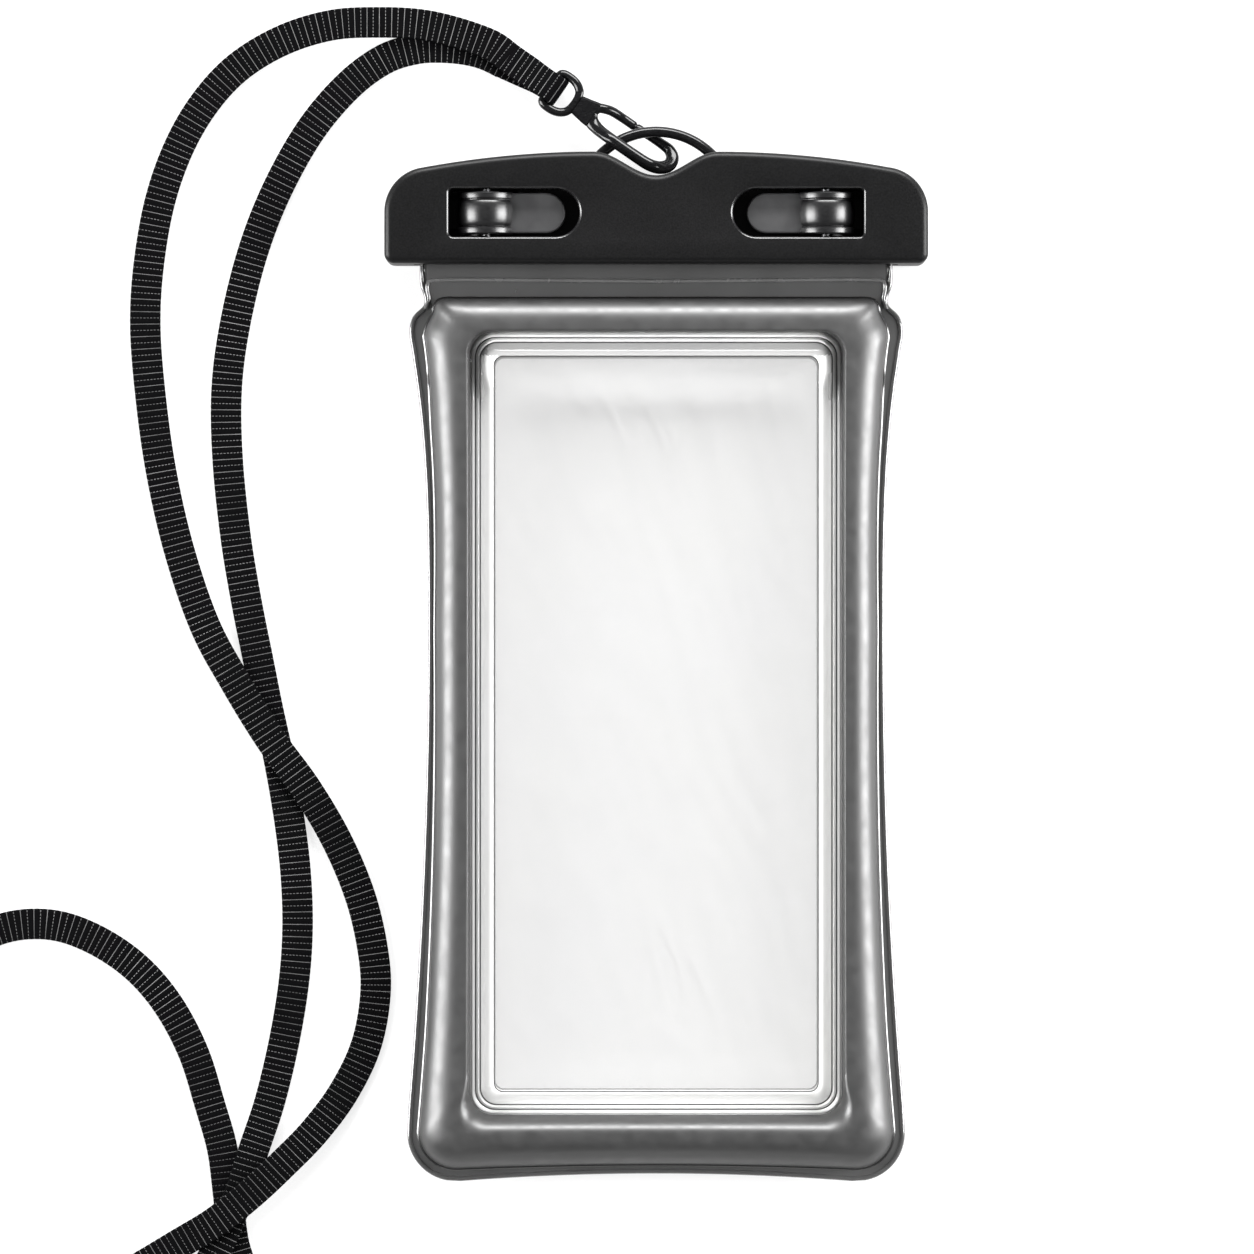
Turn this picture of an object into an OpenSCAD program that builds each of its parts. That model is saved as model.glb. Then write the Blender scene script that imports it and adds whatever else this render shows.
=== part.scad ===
// Floating waterproof phone pouch with a two-lever clamp and a neck strap.
// It lies on its back with its clear front up. The clamp is at +Y and +X is to the right.

/* [Clamp] */
// Width of the clamp
clamp_w = 122; // [119:0.5:126]
// Height of the clamp from its bottom lip to its two humps
clamp_h = 25.1; // [24.8:0.1:26]
// Thickness of the clamp and of the inflated frame
thick = 17; // [16.8:0.1:18.4]
// Radius of the rounded shoulders
shoulder_r = 10; // [8:0.5:11]
// Depth of the scoop between the two humps
scoop_d = 5.3; // [4:0.1:5.6]
// Rounding of the outer edges
edge_r = 1.5; // [0.8:0.1:1.6]

/* [Levers] */
// Distance of each lever's turning axis from the clamp's end
lever_inset = 22.8; // [21:0.1:24]
// Radius of the lever's barrel
barrel_r = 6.5; // [6.2:0.1:6.8]
// Length of the finger tab from the turning axis
tab_len = 17.9; // [16:0.1:18.4]
// Thickness of the finger tab
tab_t = 2.2; // [1.6:0.1:2.6]
// Radius of the steel pin that each lever turns on
pin_r = 1; // [0.8:0.1:1.3]

/* [Lanyard hook] */
// Radius of the arch that the hook holds
arch_wire_r = 1.2; // [0.9:0.05:1.25]
// Radius of the eye's rim and of the hook's thick strand
hook_wire_r = 1.1; // [0.9:0.05:1.15]
// Radius of the hook's springy strand
gate_r = 0.95; // [0.8:0.05:1]

/* [Pouch] */
// Length from the pouch's bottom edge to the top of the lanyard arch
total_len = 237.5; // [225:0.5:250]
// How far the pouch's waist lies inside the clamp's end
waist_inset = 9.7; // [9:0.1:10.4]
// How far each side flares out at the bottom corners
flare_low = 4.7; // [3:0.1:6]
// How far each side flares out at the top corners
flare_top = 4.4; // [3:0.1:5.4]
// Width of each side tube with its flange at the waist
side_tube_w = 9.5; // [8.8:0.1:11]
// Width of the bottom tube
bottom_tube_w = 12.2; // [10:0.2:14]
// Half of the pocket's depth
pocket_half = 5.2; // [4.4:0.1:5.8]
// Thickness of the clear film
film_t = 0.5; // [0.3:0.05:0.5]

/* [Strap] */
// Width of the woven strap
strap_w = 7; // [6:0.1:7]
// Thickness of the woven strap
strap_t = 1.25; // [1:0.05:1.25]

/* [Hidden] */
$fn = 48;
mid = thick / 2;
y_top = total_len / 2;
y_bottom = -y_top;
parting = 0.3;

// clamp outline
half_w = clamp_w / 2;
hump_x = 14;
hump_y = y_top - 6.15;
lip_y = hump_y - clamp_h;
lip_corner_r = 2.2;
slope = 0.0024;
shoulder_end = 83;
shoulder_x = half_w - shoulder_r;
shoulder_top_x = shoulder_x + shoulder_r * cos(shoulder_end);
shoulder_y = top_y(shoulder_top_x) - shoulder_r * sin(shoulder_end);
waist_x = half_w - waist_inset;
neck_half = waist_x + 0.3;
window_x = waist_x - side_tube_w;

// slots, levers and their catches, from each lever's axis
lever_x = half_w - lever_inset;
slot_y = hump_y - clamp_h / 2 - 1.15;
slot_half = clamp_h / 2 - 7.15;
slot_in = 21;
slot_out = 8.3;
axis_z = thick - 6;
barrel_half = slot_half - 0.6;
collar_y = barrel_half - 1.7;
cut_half = barrel_half - 1.2;
toe_half = cut_half - 0.3;
core_r = 3.5;
catch_edge = 0.35;
catch_top = 4.4;
catch_low = 5.8;
toe_low = 8;
pocket_low = 8.8;
pocket_in = barrel_r + 0.6;
pin_half = slot_half + 1.3;
pin_play = 0.06;

// guide pegs between the halves
peg_r = 1.5;
peg_x = half_w - 4;
peg_y = slot_y - 2;
peg_play = 0.08;

// sealing zone of the neck between the jaws
neck_end_y = lip_y + 4.3;
recess_x = neck_half + 2.9;
recess_h = 1.85;
seal_y = lip_y + 0.8;
seal_w = 2.4;
seal_x = neck_half - 4.8;

// lanyard arch
arch_r = 17.8;
arch_y = y_top - arch_wire_r - arch_r;
arch_half_angle = 57;

// inflated frame and its weld flange
weld_half = 0.4;
waist_y = 5;
low_flare_y = y_bottom + 13.3;
top_flare_y = lip_y - 15.6;
frame_in_top = lip_y - 16.7;
frame_out_top = lip_y - 7.2;
frame_out_low = y_bottom + 2.8;
frame_in_low = frame_out_low + bottom_tube_w;
in_corner_r = 5;
out_corner_r = 8.5;
flange_corner_r = 10.8;
base_x = waist_x + flare_low - flange_corner_r - 1.2;
pocket_top = lip_y - 21.5;

// film heights: y, half width, width of the ramp beside the flat border, height in the middle
border = 1;
full_h = pocket_half - weld_half;
film_rows = [
    [neck_end_y, neck_half, 3, -0.35],
    [lip_y - 3, neck_half, 3, -0.35],
    [frame_out_top, neck_half - 0.4, 4, 0.2],
    [frame_out_top - 5.3, neck_half - 3.6, 8, 1.2],
    [frame_in_top, window_x + 3, 6, 2.6],
    [pocket_top, window_x, 3.4, full_h],
    [waist_y, window_x, 3.4, full_h],
    [frame_in_low + 4.4, window_x, 3.4, full_h],
    [frame_in_low + 1, window_x - 1.6, 3.4, 0],
    [frame_in_low, window_x - 4.5, 3.4, 0]
];

// hook: its axis runs from the eye down to the nose that hangs in the scoop
hook_turn = -35;
hook_pitch = 10;
hook_tilt = 45;
hook_half = 4.1;
hook_start = 13;
hook_end = 24.6;
shank_half = 2.4;
shank_t = 3.2;
web_t = 1.8;
swivel_pin_r = 1;
eye_bar = 4.1;
eye_half = 4.1;
eye_bend = 1.5;
fold_len = 11;
fold_gap = 0.1;
hook_rise = 5.61;
fold_point = [-33.3, y_top + 15.85];
axis_dir = [cos(hook_turn), sin(hook_turn)];
eye_wire_r = hook_wire_r;
bar_z = eye_wire_r + strap_t + fold_gap;
bar_point = fold_point + fold_len * axis_dir;
eye_point = bar_point + eye_bar * cos(hook_pitch) * axis_dir;
eye_z = bar_z + eye_bar * sin(hook_pitch);
arch_z = eye_z + hook_rise - arch_wire_r - hook_wire_r;

// strap route seen from above: x, y and the layer that it lies in, as read off the photo
layer_z = strap_t * 1.06;
strap_shift = y_top - 118.75;
route = [
    [-33.3, 134.6, 1], [-37.4, 137.47, 1], [-45, 140.2, 1], [-53, 142, 1], [-62, 142.5, 1],
    [-73, 142, 0.1], [-84, 138.7, 0], [-94, 132.8, 0], [-101.5, 125, 0], [-107.5, 115, 0],
    [-112, 102.5, 0], [-114.6, 88, 0], [-115.4, 74, 0], [-114.2, 58, 0], [-111.8, 41, 0],
    [-107.8, 23.5, 0], [-102, 6.5, 0.3], [-95, -6.5, 1], [-87, -19.5, 1.1], [-79, -30.5, 1],
    [-72, -42.5, 0.3], [-66.8, -55, 0], [-64, -67, 0], [-63.4, -77, 0], [-65.5, -88.5, 0],
    [-70.5, -99, 0.2], [-77, -107.8, 1.3], [-84, -115, 2.1], [-91.5, -122, 2.1], [-99.5, -128.3, 2.1],
    [-108, -133.5, 1.3], [-118, -139.5, 0.3], [-130, -146, 0], [-142, -149, 0], [-154, -147, 0],
    [-165, -138, 0], [-172, -124, 0], [-174, -107, 0], [-171, -91, 0], [-164, -76, 0],
    [-156, -66.5, 0], [-147, -62, 0], [-137, -61.3, 0], [-127.5, -64.3, 0], [-118, -70.5, 0],
    [-110.5, -79, 0], [-104.6, -90, 0], [-100.8, -102, 0], [-98, -112, 0], [-96.7, -122, 0],
    [-95.2, -134, 0], [-91, -145, 0], [-88, -154, 0], [-88, -163, 0], [-93, -170, 0],
    [-101, -172, 0], [-108.5, -168, 0], [-111, -160, 0], [-109, -151.5, 0.2], [-104, -143.5, 0.8],
    [-98.5, -133, 1], [-94, -122, 1],
    [-90.8, -112, 1], [-87.2, -101, 0.1], [-84, -87.5, 0], [-81.8, -74, 0], [-81, -62, 0],
    [-81.4, -50, 0], [-82.8, -38, 0], [-85, -25, 0], [-87.8, -12, 0], [-90, -1, 0],
    [-92.6, 12, 0], [-95, 26.5, 0], [-96.8, 44, 0], [-97, 60, 0], [-95, 75, 0],
    [-91, 91, 0], [-85.5, 105, 0], [-78, 118.3, 0], [-69.5, 128.3, 0], [-60.5, 134.6, 0],
    [-52, 137.6, 0], [-44.5, 138.8, 0], [-37.4, 137.47, 0], [-33.3, 134.6, 0]
];

matte_black = [0.15, 0.15, 0.15];
gloss_black = [0.05, 0.05, 0.055];
steel = [0.6, 0.6, 0.62];
rubber = [0.3, 0.3, 0.31];
smoke = [0.42, 0.43, 0.44, 0.7];
clear = [0.88, 0.89, 0.9, 0.4];

// helpers

// joins equal rings of points, each running counterclockwise seen from the next ring
// the end faces of a flat section are cut across it, from each point to its opposite one
module loft(rings, closed = false, flat = false) {
    n = len(rings[0]);
    m = len(rings);
    last = closed ? m - 1 : m - 2;
    sides = [
        for (k = [0:last], i = [0:n - 1])
            let (j = (i + 1) % n, k2 = (k + 1) % m)
            each [[k * n + i, k2 * n + i, k2 * n + j], [k * n + i, k2 * n + j, k * n + j]]
    ];
    end = (m - 1) * n;
    plain_caps = [[for (i = [0:n - 1]) i], [for (i = [n - 1:-1:0]) end + i]];
    flat_caps = [
        for (i = [0:n / 2 - 2])
            let (j = n - 1 - i)
            each [[i, i + 1, j - 1], [i, j - 1, j],
                [end + j - 1, end + i + 1, end + i], [end + j, end + j - 1, end + i]]
    ];
    caps = closed ? [] : flat ? flat_caps : plain_caps;
    polyhedron(points = [for (r = rings) each r], faces = concat(sides, caps), convexity = 6);
}

// the same shape on the back, seen across the middle plane
module across_middle() {
    translate([0, 0, thick]) mirror([0, 0, 1]) children();
}

function unit(v) = v / norm(v);
function clamp01(v) = min(1, max(0, v));

// clamp

// upper edge of the clamp: two humps with a scoop between them
function top_y(x) =
    let (a = abs(x))
    a > hump_x ? hump_y - slope * pow(a - hump_x, 2) : hump_y - scoop_d * (1 + cos(180 * a / hump_x)) / 2;

right_edge = concat(
    [for (a = [-90:22.5:0]) [half_w - lip_corner_r + lip_corner_r * cos(a),
        lip_y + lip_corner_r + lip_corner_r * sin(a)]],
    [for (i = [0:8]) let (a = shoulder_end * i / 8)
        [shoulder_x + shoulder_r * cos(a), shoulder_y + shoulder_r * sin(a)]],
    [for (i = [1:6]) let (x = shoulder_top_x - i * (shoulder_top_x - hump_x) / 6) [x, top_y(x)]],
    [for (i = [1:8]) let (x = hump_x * (1 - i / 8)) [x, top_y(x)]]
);
outline = concat(right_edge, [for (i = [len(right_edge) - 2:-1:0]) [-right_edge[i][0], right_edge[i][1]]]);

// the outline moved inwards by d
function inset(points, d) = [
    for (i = [0:len(points) - 1])
        let (n = len(points), t = unit(points[(i + 1) % n] - points[(i + n - 1) % n]))
        points[i] + d * [-t[1], t[0]]
];

// what the rounded edge takes off all round the outer face, as inset and height below the face
edge_cut = [[-0.134, -1.5], [0.134, -0.5], [0.5, -0.134], [1.1, 0.027], [1.1, 1], [-0.6, 1]];

// one half of the clamp with a rounded edge on its outer face, seen as the front half
module clamp_block() {
    rings = [for (e = edge_cut) inset(outline, e[0] * edge_r)];
    difference() {
        translate([0, 0, mid + parting / 2]) linear_extrude(mid - parting / 2) polygon(outline);
        loft([
            for (i = [0:len(outline) - 1])
                [for (k = [0:len(edge_cut) - 1]) [rings[k][i][0], rings[k][i][1], thick + edge_cut[k][1] * edge_r]]
        ], closed = true);
    }
}

// room for the neck in a jaw, seen as the front jaw
module neck_recess() {
    translate([-recess_x, lip_y - 1, mid - 1])
        cube([2 * recess_x, neck_end_y + 0.2 - lip_y + 1, 1 + recess_h]);
}

// long slot around a lever, with its round end towards the middle
module slot() {
    translate([0, 0, mid - 1]) linear_extrude(thick) {
        translate([slot_half - slot_in, 0]) circle(slot_half);
        translate([slot_half - slot_in, -slot_half]) square([slot_in - slot_half + slot_out, 2 * slot_half]);
    }
}

// places its children on both lever axes, the left one mirrored
module at_levers() {
    translate([lever_x, slot_y, 0]) children();
    mirror([1, 0, 0]) translate([lever_x, slot_y, 0]) children();
}

// pin along Y through a lever's axis
module axis_rod(r, half) {
    translate([0, 0, axis_z]) rotate([90, 0, 0]) cylinder(r = r, h = 2 * half, center = true);
}

module clamp_front() {
    color(matte_black) difference() {
        clamp_block();
        neck_recess();
        at_levers() slot();
        at_levers() axis_rod(pin_r, pin_half);
        for (s = [-1, 1])
            translate([s * peg_x, peg_y, mid - 1]) cylinder(r = peg_r + peg_play, h = 5);
    }
}

// pocket under a barrel, with the catch that its toe hooks under
module catch_pocket() {
    difference() {
        translate([-pocket_in, -slot_half, axis_z - pocket_low])
            cube([pocket_in + slot_out, 2 * slot_half, thick]);
        translate([catch_edge, -toe_half, axis_z - catch_low])
            cube([slot_out, 2 * toe_half, catch_low - catch_top]);
    }
}

module clamp_back() {
    color(matte_black) {
        difference() {
            across_middle() clamp_block();
            across_middle() neck_recess();
            at_levers() catch_pocket();
            arch_bar();
        }
        for (s = [-1, 1])
            translate([s * peg_x, peg_y, mid - 2]) {
                cylinder(r = peg_r, h = 4.6);
                translate([0, 0, 4.6]) cylinder(r1 = peg_r, r2 = peg_r - 0.5, h = 0.6);
            }
    }
}

module arch_bar() {
    translate([0, arch_y, arch_z]) rotate([0, 0, 90 - arch_half_angle])
        rotate_extrude(angle = 2 * arch_half_angle, $fn = 72) translate([arch_r, 0]) circle(arch_wire_r);
}

module lanyard_arch() {
    color(gloss_black) arch_bar();
}

// levers, seen from the right one's axis

// barrel profile with an end collar, a thin groove and a slightly bulging middle
barrel_profile = [
    [0, -barrel_half], [barrel_r - 0.3, -barrel_half], [barrel_r, -barrel_half + 0.3], [barrel_r, -collar_y],
    [barrel_r - 0.4, -collar_y + 0.1], [barrel_r - 0.4, -collar_y + 0.4], [barrel_r - 0.1, -collar_y + 0.5],
    [barrel_r, 0],
    [barrel_r - 0.1, collar_y - 0.5], [barrel_r - 0.4, collar_y - 0.4], [barrel_r - 0.4, collar_y - 0.1],
    [barrel_r, collar_y], [barrel_r, barrel_half - 0.3], [barrel_r - 0.3, barrel_half], [0, barrel_half]
];

// draws a profile given as x and z, as a bar along Y
module along_y(half) {
    rotate([90, 0, 0]) linear_extrude(2 * half, center = true) children();
}

module lever() {
    color(gloss_black) translate([0, 0, axis_z]) difference() {
        union() {
            difference() {
                rotate([90, 0, 0]) rotate_extrude() polygon(barrel_profile);
                along_y(cut_half) difference() {
                    polygon([[0, 0], [-1.6, -9], [-1.6, -12], [16, -12], [16, -9]]);
                    circle(core_r);
                }
            }
            along_y(toe_half) polygon([
                [0, -2], [-1.7, -2], [-1.9, -toe_low + 0.5], [-1.3, -toe_low], [1.7, -toe_low],
                [2, -toe_low + 0.4], [1.9, -7.1], [-0.05, -catch_low - 0.35]
            ]);
            translate([0, 0, barrel_r - 1.1 - tab_t]) linear_extrude(tab_t) {
                translate([barrel_half - 0.3 - tab_len, 0]) circle(barrel_half - 0.3);
                translate([barrel_half - 0.3 - tab_len, 0.3 - barrel_half])
                    square([tab_len - barrel_half - 2, 2 * barrel_half - 0.6]);
            }
        }
        rotate([90, 0, 0]) cylinder(r = pin_r + pin_play, h = 3 * barrel_half, center = true);
    }
}

module lever_right() {
    translate([lever_x, slot_y, 0]) lever();
}

module lever_left() {
    mirror([1, 0, 0]) lever_right();
}

module lever_pin_right() {
    color(steel) translate([lever_x, slot_y, 0]) axis_rod(pin_r, pin_half);
}

module lever_pin_left() {
    mirror([1, 0, 0]) lever_pin_right();
}

// soft strip that presses the neck's films together
module seal_strip(low, high) {
    color(rubber) translate([-seal_x, seal_y, low]) cube([2 * seal_x, seal_w, high - low]);
}

module seal_strip_front() {
    seal_strip(mid + weld_half - 0.35 + film_t + 0.3, mid + recess_h);
}

module seal_strip_back() {
    seal_strip(mid - recess_h, mid - weld_half + 0.35 - film_t);
}

// pouch

// waisted outer edge of the pouch on the right
function side_x(y) =
    waist_x + (y < waist_y
        ? flare_low * pow((waist_y - y) / (waist_y - low_flare_y), 2)
        : flare_top * pow((y - waist_y) / (top_flare_y - waist_y), 3));

// lower edge of the pouch, slightly higher in the middle
function low_y(x) = y_bottom + 1.7 - 1.7 * pow(x / base_x, 2);

flange_right = concat(
    [for (i = [0:6]) let (x = base_x * i / 6) [x, low_y(x)]],
    [for (a = [-80:10:0]) [side_x(low_flare_y) - flange_corner_r + flange_corner_r * cos(a),
        y_bottom + flange_corner_r + flange_corner_r * sin(a)]],
    [for (i = [0:20]) let (y = low_flare_y + 3 + (top_flare_y - low_flare_y - 3) * i / 20) [side_x(y), y]],
    [for (a = [10:10:30]) [side_x(top_flare_y) - 4 + 4 * cos(a), top_flare_y + 4 * sin(a)]],
    [[neck_half + 3, lip_y - 11.2], [neck_half + 1.7, lip_y - 9.8], [neck_half + 0.6, lip_y - 8.9],
        [neck_half + 0.7, lip_y - 6.9], [neck_half + 1.5, lip_y - 5], [neck_half + 1.6, lip_y - 3],
        [neck_half + 1.6, neck_end_y]]
);

// room for the phone and for the way in through the neck
module pocket_outline() {
    edge = [for (row = film_rows) [row[1] - border, row[0]]];
    n = len(edge);
    polygon(concat([for (i = [n - 2:-1:0]) edge[i]], [[neck_half - border, neck_end_y + 1]],
        [[border - neck_half, neck_end_y + 1]], [for (i = [0:n - 2]) [-edge[i][0], edge[i][1]]]));
}

module weld_flange() {
    color(smoke) translate([0, 0, mid - weld_half]) linear_extrude(2 * weld_half) difference() {
        polygon(concat(flange_right,
            [for (i = [len(flange_right) - 1:-1:1]) [-flange_right[i][0], flange_right[i][1]]]));
        pocket_outline();
    }
}

// one value of a film row at height y, between its rows
function row_value(y, column) = lookup(y, [for (row = film_rows) [row[0], row[column]]]);

// height of the front film over the flange
function film_rise(x, y) =
    row_value(y, 3) * clamp01((row_value(y, 1) - border - abs(x)) / row_value(y, 2));

module film() {
    steps = function (row) [-row[1], border - row[1], border + row[2] - row[1], -0.3 * row[1],
        0.3 * row[1], row[1] - border - row[2], row[1] - border, row[1]];
    shares = [0, 0, 1, 1, 1, 1, 0, 0];
    low = mid + weld_half;
    color(clear) loft([
        for (row = film_rows)
            let (xs = steps(row))
            concat(
                [for (i = [0:7]) [xs[i], row[0], low + row[3] * shares[i]]],
                [for (i = [7:-1:0]) [xs[i], row[0], low + row[3] * shares[i] + film_t]])
    ], flat = true);
}

module front_film() {
    film();
}

module back_film() {
    across_middle() film();
}

// outer edge of the tube on the right, inside the flange
function tube_x(y) = side_x(y) - 1.6 - 1.2 * clamp01(abs(y - waist_y) / 90);

// inner and outer point of each ring of the tube, once around
side_steps = 24;
tube_right = [
    for (i = [0:side_steps])
        let (f = i / side_steps,
            y_in = frame_in_low + in_corner_r + f * (frame_in_top - frame_in_low - 2 * in_corner_r),
            y_out = frame_out_low + out_corner_r + f * (frame_out_top - frame_out_low - 2 * out_corner_r))
        [[window_x, y_in], [tube_x(y_out), y_out]]
];
x_out_top = tube_right[side_steps][1][0];
x_out_low = tube_right[0][1][0];
mid_in_x = (window_x - in_corner_r) / 2;
mid_out_x = (x_out_low - out_corner_r) / 2;
function corner(cx_in, cy_in, cx_out, cy_out, a) = [
    [cx_in + in_corner_r * cos(a), cy_in + in_corner_r * sin(a)],
    [cx_out + out_corner_r * cos(a), cy_out + out_corner_r * sin(a)]
];
tube_top = [
    for (a = [10:10:90])
        corner(window_x - in_corner_r, frame_in_top - in_corner_r,
            x_out_top - out_corner_r, frame_out_top - out_corner_r, a)
];
tube_low = [
    for (a = [-90:10:-10])
        corner(window_x - in_corner_r, frame_in_low + in_corner_r,
            x_out_low - out_corner_r, frame_out_low + out_corner_r, a)
];
tube_half = concat(
    [[[0, frame_in_low], [0, frame_out_low + 1]]],
    [[[mid_in_x, frame_in_low], [mid_out_x, frame_out_low + 0.8]]], tube_low, tube_right, tube_top,
    [[[mid_in_x, frame_in_top], [mid_out_x, frame_out_top]]], [[[0, frame_in_top], [0, frame_out_top]]]
);
tube_rings = concat(tube_half, [
    for (i = [len(tube_half) - 2:-1:1])
        [for (p = tube_half[i]) [-p[0], p[1]]]
]);

// underside of the front tube: on the flange, and over the film where the neck passes
function tube_base(p) =
    mid + weld_half + clamp01((p[1] - pocket_top + 6) / 3) * (film_t + 0.3)
        + (p[1] > pocket_top - 6 ? max(0, film_rise(p[0], p[1])) : 0);

// rounded top of the tube over the share t of its width, steeper towards the window
function dome(t) = pow(1 - pow(abs(2 * pow(t, 0.68) - 1), 2.4), 0.6);

dome_steps = [0, 0.015, 0.05, 0.12, 0.25, 0.42, 0.62, 0.81, 0.94, 1];
base_steps = [0.7, 0.35];

function tube_section(pair) = concat(
    [for (t = dome_steps)
        let (p = pair[0] + t * (pair[1] - pair[0]), base = tube_base(p))
        [p[0], p[1], base + (thick - base) * dome(t)]],
    [for (t = base_steps) let (p = pair[0] + t * (pair[1] - pair[0])) [p[0], p[1], tube_base(p)]]
);

module air_frame() {
    color(smoke) loft([for (pair = tube_rings) tube_section(pair)], closed = true);
}

module front_air_frame() {
    air_frame();
}

module back_air_frame() {
    across_middle() air_frame();
}

// hook and strap

// places its children on the hook's axis with x towards the nose
module on_hook_axis(tilt) {
    translate([eye_point[0], eye_point[1], eye_z]) rotate([0, 0, hook_turn]) rotate([0, -hook_pitch, 0])
        rotate([-tilt, 0, 0]) children();
}

module rod(from, to, r) {
    d = to - from;
    translate(from) rotate([0, 90, atan2(d[1], d[0])]) cylinder(r = r, h = norm(d));
}

module bend(centre, radius, r, start, angle) {
    translate(centre) rotate([0, 0, start]) rotate_extrude(angle = angle) translate([radius, 0]) circle(r);
}

// D-shaped eye with a straight bar for the strap and a pin that turns in the hook
module swivel_eye() {
    side = eye_half - eye_bend;
    color(gloss_black) on_hook_axis(0) {
        bend([0, 0, 0], eye_half, eye_wire_r, -90, 180);
        for (s = [-1, 1]) {
            rod([0, s * eye_half, 0], [eye_bend - eye_bar, s * eye_half, 0], eye_wire_r);
            bend([eye_bend - eye_bar, s * side, 0], eye_bend, eye_wire_r, s > 0 ? 90 : 180, 90);
        }
        rod([-eye_bar, -side, 0], [-eye_bar, side, 0], eye_wire_r);
        rod([eye_half, 0, 0], [eye_half + 1.8, 0, 0], 1.6);
        rod([eye_half, 0, 0], [eye_half + 4, 0, 0], swivel_pin_r);
    }
}

// flat plate of the hook between its shank and the two strands, with a round root
module hook_web() {
    linear_extrude(web_t, center = true) difference() {
        polygon([
            [eye_half + 2.1, -shank_half + 0.2], [hook_start - 0.3, -hook_half - 0.5],
            [hook_start - 0.3, hook_half + 0.5], [eye_half + 2.1, shank_half - 0.2]
        ]);
        translate([hook_start, 0]) circle(hook_half - 0.6);
    }
}

// closed loop hook with a thick strand, a springy strand and its slit near the nose
module lanyard_hook() {
    color(gloss_black) on_hook_axis(hook_tilt) difference() {
        union() {
            translate([eye_half + 1.9, -shank_half, -shank_t / 2])
                cube([hook_start - hook_half - eye_half - 1.5, 2 * shank_half, shank_t]);
            hook_web();
            bend([hook_start, 0, 0], hook_half, hook_wire_r, 90, 180);
            bend([hook_end, 0, 0], hook_half, hook_wire_r, -90, 180);
            rod([hook_start, -hook_half, 0], [hook_end, -hook_half, 0], hook_wire_r);
            rod([hook_start, hook_half, 0], [hook_end, hook_half, 0], gate_r);
        }
        translate([eye_half, 0, 0]) rotate([0, 90, 0]) cylinder(r = swivel_pin_r + 0.05, h = 4.2);
        translate([hook_end - 1, hook_half, 0]) rotate([0, 0, 30]) cube([0.35, 4, 4], center = true);
    }
}

// end of the strap: both layers go round the eye's bar and are sewn together behind it
module strap_fold() {
    far = fold_len;
    wrap_r = eye_wire_r + strap_t;
    stack = strap_t * (0.56 + 1.06);
    color(gloss_black) translate([bar_point[0], bar_point[1], 0]) rotate([0, 0, hook_turn + 180])
        intersection() {
            rotate([90, 0, 0]) linear_extrude(strap_w, center = true) difference() {
                polygon(concat(
                    [for (a = [90:15:270]) [wrap_r * cos(a), bar_z + wrap_r * sin(a)]],
                    [[far, strap_t * 0.06], [far, stack + strap_t / 2]]));
                translate([0, bar_z]) circle(eye_wire_r);
                polygon([[eye_wire_r * 0.6, bar_z + 0.6], [4.6, stack - strap_t / 2],
                    [eye_wire_r * 0.6, bar_z - 0.6]]);
            }
            linear_extrude(3 * thick, center = true) polygon([
                [-4, eye_bend - eye_half], [1.8, eye_bend - eye_half], [3.4, -strap_w / 2], [far, -strap_w / 2],
                [far, strap_w / 2], [3.4, strap_w / 2], [1.8, eye_half - eye_bend], [-4, eye_half - eye_bend]
            ]);
        }
}

// flat strap section with eased edges, across and up
strap_section = [
    for (p = [[-1, -0.5], [-0.9, -1], [0.9, -1], [1, -0.5], [1, 0.5], [0.9, 1], [-0.9, 1], [-1, 0.5]])
        [p[0] * strap_w / 2, p[1] * strap_t / 2]
];

function route_dir(i) =
    let (a = route[max(0, i - 1)], b = route[min(len(route) - 1, i + 1)])
    unit([b[0] - a[0], b[1] - a[1]]);

function strap_ring(i) =
    let (d = route_dir(i), p = route[i])
    [for (q = strap_section)
        [p[0] - d[1] * q[0], p[1] + strap_shift + d[0] * q[0], strap_t * 0.56 + layer_z * p[2] + q[1]]];

module strap() {
    color(matte_black) loft([for (i = [0:len(route) - 1]) strap_ring(i)], flat = true);
}

clamp_back();
clamp_front();
lanyard_arch();
lever_left();
lever_right();
lever_pin_left();
lever_pin_right();
seal_strip_front();
seal_strip_back();
weld_flange();
front_air_frame();
back_air_frame();
front_film();
back_film();
swivel_eye();
lanyard_hook();
strap_fold();
strap();
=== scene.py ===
"""Looks of a floating waterproof phone pouch with a lever clamp and a neck strap.

Shapes are worked out in millimetres in the frame's axes and become metres when a mesh is made.
"""
import math

import bmesh
import bpy
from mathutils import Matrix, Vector, noise


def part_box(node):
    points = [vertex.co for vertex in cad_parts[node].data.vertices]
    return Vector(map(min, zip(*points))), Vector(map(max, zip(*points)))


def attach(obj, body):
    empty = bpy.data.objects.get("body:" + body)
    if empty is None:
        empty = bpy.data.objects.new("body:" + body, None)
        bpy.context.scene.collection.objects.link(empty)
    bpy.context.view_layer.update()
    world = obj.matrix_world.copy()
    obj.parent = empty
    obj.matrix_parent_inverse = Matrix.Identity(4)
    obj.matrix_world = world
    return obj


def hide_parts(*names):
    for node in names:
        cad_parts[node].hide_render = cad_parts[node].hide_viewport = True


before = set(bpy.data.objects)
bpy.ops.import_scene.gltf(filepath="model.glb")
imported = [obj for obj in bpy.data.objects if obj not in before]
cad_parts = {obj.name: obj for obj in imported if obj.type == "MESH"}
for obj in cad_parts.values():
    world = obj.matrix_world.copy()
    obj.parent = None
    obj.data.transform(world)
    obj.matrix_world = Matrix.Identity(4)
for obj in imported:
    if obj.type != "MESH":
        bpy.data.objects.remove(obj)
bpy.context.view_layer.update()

MM = 0.001

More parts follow.
